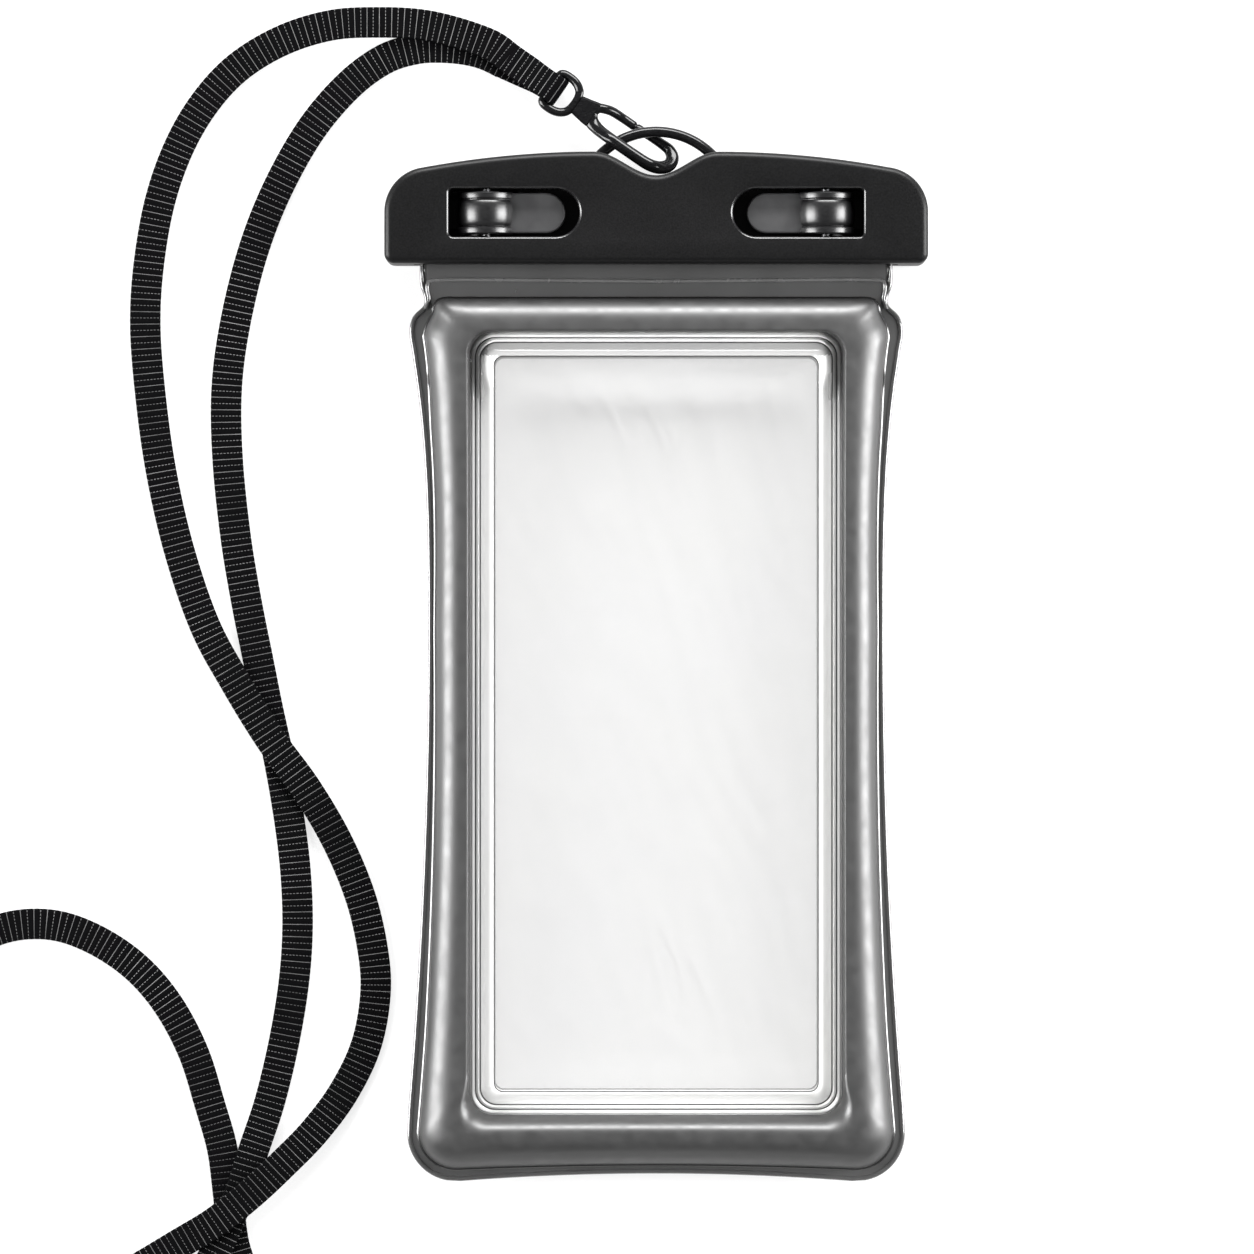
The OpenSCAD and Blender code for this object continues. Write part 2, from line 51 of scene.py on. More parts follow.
# Clamp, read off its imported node
CLAMP_LOW, CLAMP_HIGH = [Vector(corner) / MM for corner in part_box("clamp_front")]
HALF_W = CLAMP_HIGH.x
LIP_Y = CLAMP_LOW.y
HUMP_Y = CLAMP_HIGH.y
THICK = CLAMP_HIGH.z
MID = THICK / 2
PARTING = 0.15
SCOOP_D = 5.3
HUMP_X = 14
TOP_SLOPE = 0.0024
SHOULDER_R = 10
SHOULDER_END = math.radians(83)
LIP_R = 2.2
EDGE_R = 1.5

# Levers and their slots
LEVER_X = HALF_W - 22.8
SLOT_Y = HUMP_Y - 13.7
SLOT_HALF = 5.4
SLOT_IN = 21
SLOT_OUT = 8.3
AXIS_Z = THICK - 6
BARREL_R = 6.5
BARREL_HALF = 4.8
TAB_LEN = 17.9
TAB_T = 2.2
PIN_R = 1

# Pouch
Y_TOP = HUMP_Y + 6.15
Y_BOTTOM = -Y_TOP
WAIST_X = HALF_W - 9.7
WAIST_Y = 5
FLARE_LOW = 4.7
FLARE_TOP = 4.4
LOW_FLARE_Y = Y_BOTTOM + 13.3
TOP_FLARE_Y = LIP_Y - 15.6
NECK_HALF = WAIST_X + 0.3
NECK_END_Y = LIP_Y + 4.3
WINDOW_X = WAIST_X - 9.5
FRAME_IN_TOP = LIP_Y - 15.4
FRAME_OUT_TOP = LIP_Y - 7.7
FRAME_OUT_LOW = Y_BOTTOM + 2.8
FRAME_IN_LOW = FRAME_OUT_LOW + 12.2
IN_CORNER_R = 5
OUT_CORNER_R = 8.5
FLANGE_CORNER_R = 10.8
WELD_HALF = 0.4
FILM_T = 0.5
FULL_H = 4.8
POCKET_TOP = LIP_Y - 21.5
WINDOW_PROFILE = [(0.0, 0.0), (0.15, 0.05), (0.35, 0.42), (0.6, 0.52), (0.85, 0.42), (1.05, 0.05), (1.15, -0.12),
                  (1.3, 0.0), (1.5, 0.36), (1.7, 0.46), (1.9, 0.36), (2.1, 0.05), (2.2, -0.18), (2.35, 0.0),
                  (5.2, 0.0), (5.3, -0.22), (5.42, -0.22), (5.55, 0.0)]
NECK_EDGE = [(3.4, -18.9), (3.85, -16.3), (3.85, -14.1), (3.35, -12.1), (2.5, -10.9), (1.5, -10), (0.75, -9.2),
             (0.55, -8.2), (0.7, -6.9), (1.2, -5.6), (1.5, -4.4), (1.6, -3)]
SHOULDER_LINE = [(51.6, -13.9), (50.8, -12.3), (50.1, -10.7), (49.8, -9.2), (48.9, -8.1), (47.3, -7.7), (44.7, -7.7)]
NECK_WELD = [(NECK_HALF + 0.3, -10), (NECK_HALF - 0.1, -8.9), (NECK_HALF - 0.5, -7.7), (NECK_HALF - 0.35, -6.8),
             (NECK_HALF - 0.1, -5.8), (NECK_HALF - 0.05, -4.9), (NECK_HALF - 0.35, -3.9), (NECK_HALF - 1.2, -3.5),
             (NECK_HALF - 8, -3.4), (NECK_HALF - 20, -3.5), (0, -3.8)]

# Strap: width, thickness, rib pitch and the route of its middle (x, y, layer)
STRAP_W = 7
STRAP_T = 1.25
RIB_PITCH = 1.4
LAYER_Z = STRAP_T * 1.06
STRAP_SHAPE = [
    (-1, 0.0), (-0.985, 0.55), (-0.93, 0.9), (-0.6, 1), (-0.2, 1), (0.2, 1), (0.6, 1), (0.93, 0.9), (0.985, 0.55),
    (1, 0.0), (0.985, -0.55), (0.93, -0.9), (0.6, -1), (0.2, -1), (-0.2, -1), (-0.6, -1), (-0.93, -0.9), (-0.985, -0.55),
]

# Hook, in the frame of its axis: x from the eye's middle towards the nose, y to the left, with its half width
AXIS = Vector((math.cos(math.radians(-35)), math.sin(math.radians(-35))))
TAIL = Vector((-33.3, 134.6))
EYE_POINT = TAIL + AXIS * (11 + 4.1 * math.cos(math.radians(10)))
EYE_Z = 3.16
RISE = math.tan(math.radians(10))
BAR_X = -3.2
BAR_R = 1.0
FOLD_LEN = 11.9
WRAP_R = 1.65
FOLD_SKEW = 1.7
EYE_RING = [
    (3.3, 0), (3.15, 1.5), (2.6, 2.75), (1.5, 3.65), (0.2, 4.1), (-1, 4.2), (-2.2, 4.15), (-2.9, 3.85), (-3.2, 3.3),
    (-3.2, 1.6), (-3.2, 0),
]
PLATE_ROWS = [(3.9, -2.1, 2.2), (4.05, -2.3, 2.4), (5, -2.45, 2.6), (6, -2.6, 2.8), (7, -2.75, 3.05), (8.2, -2.85, 3.3)]
HOOK_LOOP = [
    (7.6, 0.6, 1.3), (8.6, -1.1, 1.6), (10.5, -1.8, 1.45), (13, -2.1, 1.35), (17, -2.2, 1.35), (21, -2.2, 1.35),
    (24.5, -2.1, 1.4), (26.8, -1.5, 1.45), (28.3, -0.3, 1.5), (28.8, 1.1, 1.5), (28.3, 2.55, 1.45), (27, 3.45, 1.3),
    (25.4, 3.7, 1.2), (22, 3.65, 1.05), (18, 3.5, 1.05), (14.5, 3.5, 1.05), (11.5, 3.35, 1.1), (9.6, 2.8, 1.1),
    (8.3, 2.05, 1.15),
]
ROUTE = [
    (-33.3, 134.6, 1), (-37.4, 137.47, 1), (-45, 140.2, 1), (-53, 142, 1), (-62, 142.5, 1),
    (-73, 142, 0.1), (-84, 138.7, 0), (-94, 132.8, 0), (-101.5, 125, 0), (-107.5, 115, 0),
    (-112, 102.5, 0), (-114.6, 88, 0), (-115.4, 74, 0), (-114.2, 58, 0), (-111.8, 41, 0),
    (-107.8, 23.5, 0), (-102, 6.5, 0.3), (-95, -6.5, 1), (-87, -19.5, 1.1), (-79, -30.5, 1),
    (-72, -42.5, 0.3), (-66.8, -55, 0), (-64, -67, 0), (-63.4, -77, 0), (-65.5, -88.5, 0),
    (-70.5, -99, 0.2), (-77, -107.8, 1.3), (-84, -115, 2.1), (-91.5, -122, 2.1), (-99.5, -128.3, 2.1),
    (-108, -133.5, 1.3), (-118, -139.5, 0.3), (-130, -146, 0), (-142, -149, 0), (-154, -147, 0),
    (-165, -138, 0), (-172, -124, 0), (-174, -107, 0), (-171, -91, 0), (-164, -76, 0),
    (-156, -66.5, 0), (-147, -62, 0), (-137, -61.3, 0), (-127.5, -64.3, 0), (-118, -70.5, 0),
    (-110.5, -79, 0), (-104.6, -90, 0), (-100.8, -102, 0), (-98, -112, 0), (-96.7, -122, 0),
    (-95.2, -134, 0), (-91, -145, 0), (-88, -154, 0), (-88, -163, 0), (-93, -170, 0),
    (-101, -172, 0), (-108.5, -168, 0), (-111, -160, 0), (-109, -151.5, 0.2), (-104, -143.5, 0.8),
    (-98.5, -133, 1), (-94, -122, 1), (-90.8, -112, 1), (-87.2, -101, 0.1), (-84, -87.5, 0),
    (-81.8, -74, 0), (-81, -62, 0), (-81.4, -50, 0), (-82.8, -38, 0), (-85, -25, 0),
    (-87.8, -12, 0), (-90, -1, 0), (-92.6, 12, 0), (-95, 26.5, 0), (-96.8, 44, 0),
    (-97, 60, 0), (-95, 75, 0), (-91, 91, 0), (-85.5, 105, 0), (-78, 118.3, 0),
    (-69.5, 128.3, 0), (-61.5, 134.2, 0), (-54.5, 136.5, 0), (-48.8, 136.9, 0), (-43, 136.4, 0), (-38.4, 135.2, 0),
    (-34.3, 133.2, 0),
]


# Materials


class Paint:
    """A material's nodes, with short calls for the ones used here."""

    def __init__(self, name, colour, roughness, **sockets):
        self.material = bpy.data.materials.new(name)
        self.material.use_nodes = True
        self.nodes = self.material.node_tree.nodes
        self.links = self.material.node_tree.links
        self.shader = self.nodes["Principled BSDF"]
        self.shader.inputs["Base Color"].default_value = (*colour, 1)
        self.shader.inputs["Roughness"].default_value = roughness
        for socket, value in sockets.items():
            self.shader.inputs[socket.replace("_", " ")].default_value = value

    def noise(self, scale, detail=2.0, stretch=(1, 1, 1)):
        """Noise over the object's own coordinates, with scale in cells per metre."""
        place = self.nodes.new("ShaderNodeTexCoord")
        mapping = self.nodes.new("ShaderNodeMapping")
        mapping.inputs["Scale"].default_value = stretch
        texture = self.nodes.new("ShaderNodeTexNoise")
        texture.inputs["Scale"].default_value = scale
        texture.inputs["Detail"].default_value = detail
        self.links.new(place.outputs["Object"], mapping.inputs["Vector"])
        self.links.new(mapping.outputs["Vector"], texture.inputs["Vector"])
        return texture.outputs["Fac"]

    def ramp(self, value, stops):
        """Colour ramp from a list of (position, colour)."""
        node = self.nodes.new("ShaderNodeValToRGB")
        band = node.color_ramp
        while len(band.elements) < len(stops):
            band.elements.new(0.5)
        for element, (position, colour) in zip(band.elements, stops):
            element.position = position
            element.color = (*colour, 1)
        self.links.new(value, node.inputs["Fac"])
        return node.outputs["Color"]

    def span(self, value, low, high):
        """Maps 0 to 1 onto low to high."""
        node = self.nodes.new("ShaderNodeMapRange")
        node.inputs["To Min"].default_value = low
        node.inputs["To Max"].default_value = high
        self.links.new(value, node.inputs["Value"])
        return node.outputs["Result"]

    def math(self, operation, a, b=0.0):
        node = self.nodes.new("ShaderNodeMath")
        node.operation = operation
        for socket, value in zip(node.inputs, (a, b)):
            if isinstance(value, (int, float)):
                socket.default_value = value
            else:
                self.links.new(value, socket)
        return node.outputs["Value"]

    def bump(self, height, strength, distance):
        node = self.nodes.new("ShaderNodeBump")
        node.inputs["Strength"].default_value = strength
        node.inputs["Distance"].default_value = distance
        self.links.new(height, node.inputs["Height"])
        self.links.new(node.outputs["Normal"], self.shader.inputs["Normal"])

    def set(self, socket, value):
        self.links.new(value, self.shader.inputs[socket])


def clamp_plastic():
    """Matte black moulded plastic with a fine spark-eroded grain."""
    paint = Paint("clamp_plastic", (0.008, 0.008, 0.0083), 0.4, Specular_IOR_Level=0.14)
    grain = paint.noise(2600, 3)
    cloud = paint.noise(90, 2)
    paint.set("Base Color", paint.ramp(grain, [(0.3, (0.0015, 0.0015, 0.0016)), (0.7, (0.005, 0.005, 0.0052))]))
    paint.set("Roughness", paint.span(cloud, 0.36, 0.44))
    paint.bump(grain, 0.35, 0.00008)
    return paint.material


def gloss_plastic(name, roughness, shine=0.5):
    """Glossy black plastic with faint handling marks."""
    paint = Paint(name, (0.003, 0.003, 0.0033), roughness, Specular_IOR_Level=shine)
    marks = paint.noise(900, 4, (1, 6, 1))
    paint.set("Base Color", paint.ramp(marks, [(0.35, (0.002, 0.002, 0.0023)), (0.7, (0.006, 0.006, 0.0063))]))
    paint.set("Roughness", paint.span(marks, roughness * 0.8, roughness * 1.35))
    paint.bump(paint.noise(160, 2), 0.08, 0.0002)
    return paint.material


def satin_plastic():
    """Black plastic worn to a soft sheen where a finger pulls."""
    paint = Paint("satin_black_plastic", (0.03, 0.03, 0.031), 0.45, Specular_IOR_Level=0.5)
    wear = paint.noise(160, 3)
    paint.set("Base Color", paint.ramp(wear, [(0.3, (0.022, 0.022, 0.023)), (0.7, (0.042, 0.042, 0.043))]))
    paint.set("Roughness", paint.span(wear, 0.38, 0.5))
    return paint.material


def pin_steel():
    """Drawn steel with a dark oxide finish."""
    paint = Paint("pin_steel", (0.14, 0.14, 0.145), 0.42, Metallic=1.0)
    drawn = paint.noise(1500, 3, (1, 0.05, 1))
    paint.set("Base Color", paint.ramp(drawn, [(0.3, (0.1, 0.1, 0.104)), (0.7, (0.18, 0.18, 0.185))]))
    paint.set("Roughness", paint.span(drawn, 0.36, 0.5))
    return paint.material


def seal_rubber():
    paint = Paint("seal_rubber", (0.05, 0.05, 0.052), 0.75)
    pores = paint.noise(1800, 4)
    paint.set("Base Color", paint.ramp(pores, [(0.3, (0.035, 0.035, 0.037)), (0.7, (0.075, 0.075, 0.078))]))
    paint.bump(pores, 0.3, 0.0001)
    return paint.material


def smoky_film(name, tone, alpha, roughness=0.3):
    """Smoky grey vinyl film with slow thickness changes and fine ripples that break up its gloss."""
    paint = Paint(name, (tone, tone, tone), roughness, Specular_IOR_Level=0.9, Alpha=alpha)
    haze = paint.noise(45, 3)
    low, high = tone * 0.9, tone * 1.12
    paint.set("Base Color", paint.ramp(haze, [(0.35, (low, low, low)), (0.65, (high, high, high))]))
    paint.set("Roughness", paint.span(paint.noise(300, 2), roughness * 0.8, roughness * 1.3))
    paint.bump(paint.noise(220, 3), 0.04, 0.0002)
    return paint.material


def clear_film(name, tone, alpha):
    """Clear vinyl film with a faint milky haze."""
    paint = Paint(name, (tone, tone, tone * 0.985), 0.08, Specular_IOR_Level=0.6, Coat_Weight=0.6,
                  Coat_Roughness=0.03)
    haze = paint.noise(30, 3)
    paint.set("Alpha", paint.span(haze, alpha * 0.85, alpha * 1.15))
    paint.set("Base Color", paint.ramp(haze, [(0.3, (tone * 0.97,) * 3), (0.7, (tone, tone, tone * 0.985))]))
    paint.bump(paint.noise(60, 2), 0.05, 0.0003)
    return paint.material


def strap_webbing():
    """Black ribbed tape with painted highlights between the ribs: a solid and a dashed light line take turns."""
    paint = Paint("strap_webbing", (0.0015, 0.0015, 0.0017), 0.8, Specular_IOR_Level=0.02)
    uv = paint.nodes.new("ShaderNodeUVMap")
    uv.uv_map = "weave"
    split = paint.nodes.new("ShaderNodeSeparateXYZ")
    paint.links.new(uv.outputs["UV"], split.inputs["Vector"])
    along, across = split.outputs["X"], split.outputs["Y"]
    in_rib = paint.math("ABSOLUTE", paint.math("SUBTRACT", paint.math("FRACT", along), 0.5))
    line = paint.math("GREATER_THAN", in_rib, 0.445)
    odd = paint.math("FRACT", paint.math("MULTIPLY", paint.math("FLOOR", paint.math("ADD", along, 0.5)), 0.5))
    dash = paint.math("GREATER_THAN", paint.math("FRACT", paint.math("MULTIPLY", across, 9)), 0.42)
    solid = paint.math("LESS_THAN", odd, 0.25)
    # Painted highlight: light lines on the rib edges, brighter and fainter along the strap, stand in for light on the
    # weave.
    painted_rib_highlight = paint.math("MULTIPLY", line, paint.math("MAXIMUM", solid, dash))
    slow = paint.span(paint.noise(45, 2), -0.2, 1.5)
    faded_rib_highlight = paint.math("MULTIPLY", paint.math("MULTIPLY", painted_rib_highlight, slow), paint.span(paint.noise(350, 3), 0.4, 1.2))
    warp = paint.math("SINE", paint.math("MULTIPLY", across, 90))
    colour = paint.ramp(faded_rib_highlight, [(0.0, (0.0013, 0.0013, 0.0015)), (1.0, (0.14, 0.14, 0.14))])
    paint.set("Base Color", colour)
    paint.bump(paint.math("ADD", paint.math("MULTIPLY", warp, 0.25), paint.noise(3500, 2)), 0.35, 0.0001)
    return paint.material


# Meshes


def make(name, points, faces, body, materials, replaced=(), kinds=None):
    """A smooth-shaded piece from points in millimetres that rides on a body."""
    mesh = bpy.data.meshes.new(name)
    mesh.from_pydata([Vector(p) * MM for p in points], [], faces)
    for material in materials:
        mesh.materials.append(material)
    if kinds:
        mesh.polygons.foreach_set("material_index", kinds)
    mesh.validate()
    tidy = bmesh.new()
    tidy.from_mesh(mesh)
    bmesh.ops.recalc_face_normals(tidy, faces=tidy.faces)
    tidy.to_mesh(mesh)
    tidy.free()
    mesh.shade_smooth()
    mesh.set_sharp_from_angle(angle=math.radians(38))
    piece = bpy.data.objects.new(name, mesh)
    bpy.context.scene.collection.objects.link(piece)
    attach(piece, body)
    if replaced:
        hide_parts(*replaced)
    return piece


class Shell:
    """Points and faces of one piece, gathered ring by ring."""

    def __init__(self):
        self.points = []
        self.faces = []
        self.kinds = []

    def loft(self, rings, closed=False, caps=True, kind=0):
        """Joins equal closed rings of points, as a tube or as a closed loop."""
        first = len(self.points)
        count = len(rings[0])
        for ring in rings:
            self.points.extend(ring)
        total = len(rings)
        for k in range(total if closed else total - 1):
            a = first + k * count
            b = first + (k + 1) % total * count
            for i in range(count):
                j = (i + 1) % count
                self.faces.append((a + i, a + j, b + j, b + i))
                self.kinds.append(kind)
        if caps and not closed:
            last = first + (total - 1) * count
            self.faces.append(tuple(range(first, first + count)))
            self.faces.append(tuple(range(last, last + count)))
            self.kinds += [kind, kind]

    def fill(self, loops, kind=0):
        """Flat face inside the first loop and outside the others, from loops of points at one height."""
        sheet = bmesh.new()
        edges = []
        for loop in loops:
            corners = [sheet.verts.new(p) for p in loop]
            edges += [sheet.edges.new((corners[i - 1], corners[i])) for i in range(len(corners))]
        bmesh.ops.triangle_fill(sheet, edges=edges, use_beauty=True, use_dissolve=False)
        first = len(self.points)
        sheet.verts.index_update()
        self.points.extend(v.co[:] for v in sheet.verts)
        for face in sheet.faces:
            self.faces.append(tuple(first + v.index for v in face.verts))
            self.kinds.append(kind)
        sheet.free()

    def mirrored(self):
        """The same piece seen across the plane between left and right."""
        other = Shell()
        other.points = [(-p[0], p[1], p[2]) for p in self.points]
        other.faces = [tuple(reversed(f)) for f in self.faces]
        other.kinds = list(self.kinds)
        return other

    def weld(self, gap=1e-4):
        """Joins points that lie on each other."""
        mesh = bmesh.new()
        corners = [mesh.verts.new(p) for p in self.points]
        for face, kind in zip(self.faces, self.kinds):
            try:
                made = mesh.faces.new([corners[i] for i in face])
                made.material_index = kind
            except ValueError:
                continue
        bmesh.ops.remove_doubles(mesh, verts=mesh.verts, dist=gap)
        mesh.verts.index_update()
        self.points = [v.co[:] for v in mesh.verts]
        self.faces = [tuple(v.index for v in f.verts) for f in mesh.faces]
        self.kinds = [f.material_index for f in mesh.faces]
        mesh.free()
        return self


def arc(cx, cy, radius, start, end, steps):
    """Points on an arc, with angles in degrees."""
    angles = [math.radians(start + (end - start) * i / steps) for i in range(steps + 1)]
    return [(cx + radius * math.cos(a), cy + radius * math.sin(a)) for a in angles]


def inset(points, distance):
    """A counterclockwise outline moved inwards."""
    moved = []
    for i, (x, y) in enumerate(points):
        before, after = points[i - 1], points[(i + 1) % len(points)]
        tx, ty = after[0] - before[0], after[1] - before[1]
        size = math.hypot(tx, ty) or 1
        moved.append((x - ty / size * distance, y + tx / size * distance))
    return moved


def at_height(points, z):
    return [(x, y, z) for x, y in points]


def smooth_step(t):
    t = min(1, max(0, t))
    return t * t * (3 - 2 * t)


# Clamp


def top_y(x):
    """Upper edge of the clamp: two humps with a scoop between them."""
    a = abs(x)
    if a > HUMP_X:
        return HUMP_Y - TOP_SLOPE * (a - HUMP_X) ** 2
    return HUMP_Y - SCOOP_D * (1 + math.cos(math.pi * a / HUMP_X)) / 2


def clamp_outline():
    shoulder_x = HALF_W - SHOULDER_R
    end_x = shoulder_x + SHOULDER_R * math.cos(SHOULDER_END)
    shoulder_y = top_y(end_x) - SHOULDER_R * math.sin(SHOULDER_END)
    right = arc(HALF_W - LIP_R, LIP_Y + LIP_R, LIP_R, -90, 0, 8)
    right += arc(shoulder_x, shoulder_y, SHOULDER_R, 0, math.degrees(SHOULDER_END), 24)
    right += [(end_x - (end_x - HUMP_X) * i / 24, top_y(end_x - (end_x - HUMP_X) * i / 24)) for i in range(1, 25)]
    right += [(HUMP_X * (1 - i / 24), top_y(HUMP_X * (1 - i / 24))) for i in range(1, 25)]
    return right + [(-x, y) for x, y in reversed(right[:-1])]


def slot_outline(side):
    """Long slot around a lever, with its round end towards the middle."""
    corner = 0.9
    right = LEVER_X + SLOT_OUT
    left = LEVER_X - SLOT_IN + SLOT_HALF
    points = arc(right - corner, SLOT_Y - SLOT_HALF + corner, corner, -90, 0, 4)
    points += arc(right - corner, SLOT_Y + SLOT_HALF - corner, corner, 0, 90, 4)
    points += arc(left, SLOT_Y, SLOT_HALF, 90, 270, 24)
    return points if side > 0 else [(-x, y) for x, y in reversed(points)]


def pocket_outline(side):
    """Pocket under a barrel in the back half."""
    low, high = LEVER_X - BARREL_R - 0.6, LEVER_X + SLOT_OUT
    points = [(low, SLOT_Y - SLOT_HALF), (high, SLOT_Y - SLOT_HALF), (high, SLOT_Y + SLOT_HALF),
              (low, SLOT_Y + SLOT_HALF)]
    return points if side > 0 else [(-x, y) for x, y in reversed(points)]


def edge_profile(radius, steps=6):
    """Rounded edge as (inset, drop below the face)."""
    angles = [math.pi / 2 * i / steps for i in range(steps + 1)]
    return [(radius * (1 - math.cos(a)), radius * (1 - math.sin(a))) for a in angles]


def clamp_half(front):
    """One half of the clamp, with its edge rounded on the outer face."""
    outline = clamp_outline()
    face = MID + PARTING

    def height(z):
        return z if front else THICK - z

    shell = Shell()
    rings = [at_height(inset(outline, 0.25), height(face)), at_height(outline, height(face + 0.25))]
    rings += [at_height(inset(outline, i), height(THICK - drop)) for i, drop in edge_profile(EDGE_R)]
    shell.loft(rings, caps=False)
    inner = [rings[0]]
    outer = [rings[-1]]
    for side in (-1, 1):
        hole = slot_outline(side)
        if front:
            rim = [at_height(inset(hole, i - 0.55), height(THICK - drop)) for i, drop in
                   [(0, 0), (0.12, 0.03), (0.35, 0.2), (0.5, 0.4), (0.55, 0.62)]]
            walls = rim + [at_height(hole, height(face))]
            shell.loft(walls, caps=False, kind=1)
            outer.append(walls[0])
            inner.append(walls[-1])
        else:
            pocket = pocket_outline(side)
            floor = AXIS_Z - 8.8
            mouth = at_height(pocket, height(face))
            base = at_height(pocket, floor)
            shell.loft([mouth, base], caps=False)
            shell.fill([base])
            inner.append(mouth)
    shell.fill(inner)
    shell.fill(outer)
    return shell.weld()


def cut(piece, points, faces):
    """Takes a closed shape out of a piece."""
    mesh = bpy.data.meshes.new("cutter")
    mesh.from_pydata([Vector(p) * MM for p in points], [], faces)
    tool = bpy.data.objects.new("cutter", mesh)
    bpy.context.scene.collection.objects.link(tool)
    modifier = piece.modifiers.new("cut", "BOOLEAN")
    modifier.operation = "DIFFERENCE"
    modifier.solver = "EXACT"
    modifier.object = tool
    bpy.context.view_layer.update()
    result = bpy.data.meshes.new_from_object(piece.evaluated_get(bpy.context.evaluated_depsgraph_get()))
    piece.modifiers.clear()
    piece.data = result
    bpy.data.objects.remove(tool)


def box_shape(low, high):
    points = [(x, y, z) for x in (low[0], high[0]) for y in (low[1], high[1]) for z in (low[2], high[2])]
    faces = [(0, 1, 3, 2), (4, 6, 7, 5), (0, 4, 5, 1), (2, 3, 7, 6), (0, 2, 6, 4), (1, 5, 7, 3)]
    return points, faces


def neck_recess(front):
    recess_x = NECK_HALF + 2.9
    low = MID - 1 if front else MID - 1.85
    return box_shape((-recess_x, LIP_Y - 1, low), (recess_x, NECK_END_Y + 0.2, low + 2.85))


def make_clamp(paint, rim_paint):
    for front in (True, False):
        shell = clamp_half(front)
        if not front:
            for side in (-1, 1):
                peg = arc(side * (HALF_W - 4), SLOT_Y - 2, 1.5, 0, 345, 23)
                tip = arc(side * (HALF_W - 4), SLOT_Y - 2, 1.0, 0, 345, 23)
                shell.loft([at_height(peg, MID - 2), at_height(peg, MID + 2.6), at_height(tip, MID + 3.2)])
                x0, x1 = sorted((side * (LEVER_X + 0.35), side * (LEVER_X + SLOT_OUT)))
                shelf = box_shape((x0, SLOT_Y - 3.3, AXIS_Z - 5.8), (x1, SLOT_Y + 3.3, AXIS_Z - 4.4))
                first = len(shell.points)
                shell.points += shelf[0]
                shell.faces += [tuple(first + i for i in face) for face in shelf[1]]
                shell.kinds += [0] * 6
        name = "front_clamp_shell" if front else "back_clamp_shell"
        piece = make(name, shell.points, shell.faces, "front_jaw" if front else "back",
                     [paint, rim_paint], ["clamp_front" if front else "clamp_back"], shell.kinds)
        cut(piece, *neck_recess(front))
        piece.data.set_sharp_from_angle(angle=math.radians(38))


# Levers

BARREL_PROFILE = [
    (0.0, 0.0), (5.7, 0.0), (6.05, 0.1), (6.3, 0.35), (6.36, 0.9), (6.3, 1.45), (6.05, 1.62), (5.85, 1.7),
    (5.82, 1.86), (6.02, 2.0), (6.12, 2.12), (6.3, 2.7), (6.43, 3.5), (6.48, 4.2), (6.5, 4.8),
]


def lever_shell():
    """The right lever: a barrel with end collars, its finger tab and the toe below."""
    shell = Shell()
    profile = BARREL_PROFILE + [(r, 2 * BARREL_HALF - y) for r, y in reversed(BARREL_PROFILE[:-1])]
    rings = []
    for i in range(96):
        a = 2 * math.pi * i / 96
        rings.append([(LEVER_X + r * math.sin(a), SLOT_Y - BARREL_HALF + y, AXIS_Z + r * math.cos(a))
                      for r, y in profile[1:-1]])
    shell.loft(rings, closed=True)
    half = BARREL_HALF - 0.3
    end = LEVER_X + half - TAB_LEN
    top = AXIS_Z + 2.6
    start = LEVER_X - 2
    plate = arc(end, SLOT_Y, half, 90, 270, 32) + [(start, SLOT_Y - half), (start, SLOT_Y + half)]
    rings = [at_height(inset(plate, 0.3), top - TAB_T), at_height(plate, top - TAB_T + 0.3)]
    rings += [at_height(inset(plate, i), top - drop) for i, drop in edge_profile(0.5)]
    shell.loft(rings, kind=1)
    toe = [(0, -2), (-1.7, -2), (-1.9, -7.5), (-1.3, -8), (1.7, -8), (2, -7.6), (1.9, -7.1), (-0.05, -6.15)]
    shell.loft([[(LEVER_X + x, SLOT_Y + s * 3.3, AXIS_Z + z) for x, z in toe] for s in (-1, 1)])
    return shell


def make_levers(paint, satin):
    right = lever_shell()
    for name, shell, body in (("right", right, "right_latch"), ("left", right.mirrored(), "left_latch")):
        make(f"{name}_cam_lever", shell.points, shell.faces, body, [paint, satin],
             [f"lever_{name}"], shell.kinds)


# Pouch


def side_x(y):
    """Waisted outer edge of the pouch."""
    if y < WAIST_Y:
        return WAIST_X + FLARE_LOW * ((WAIST_Y - y) / (WAIST_Y - LOW_FLARE_Y)) ** 2
    return WAIST_X + FLARE_TOP * ((y - WAIST_Y) / (TOP_FLARE_Y - WAIST_Y)) ** 3


def low_y(x):
    return Y_BOTTOM + 1.7 - 1.7 * (x / 44) ** 2


def flange_outline():
    right = [(x, low_y(x)) for x in range(0, 45, 4)]
    right += arc(side_x(LOW_FLARE_Y) - FLANGE_CORNER_R, Y_BOTTOM + FLANGE_CORNER_R, FLANGE_CORNER_R, -80, 0, 20)
    low, high = LOW_FLARE_Y + 3, LIP_Y - 21.5
    right += [(side_x(low + (high - low) * i / 48), low + (high - low) * i / 48) for i in range(48)]
    right += bent([(side_x(high), high)] + [(NECK_HALF + dx, LIP_Y + dy) for dx, dy in NECK_EDGE], 4)
    right.append((NECK_HALF + 1.6, NECK_END_Y))
    return right + [(-x, y) for x, y in reversed(right[1:])]


def bent(points, steps):
    """A smooth line through points (Catmull-Rom), each stretch cut into steps."""
    out = []
    for i in range(len(points) - 1):
        p0 = points[max(i - 1, 0)]
        p1, p2 = points[i], points[i + 1]
        p3 = points[min(i + 2, len(points) - 1)]
        for k in range(steps):
            t = k / steps
            out.append(tuple(
                0.5 * (2 * b + (c - a) * t + (2 * a - 5 * b + 4 * c - d) * t * t + (3 * b - a - 3 * c + d) * t ** 3)
                for a, b, c, d in zip(p0, p1, p2, p3)))
    return out + [tuple(points[-1])]


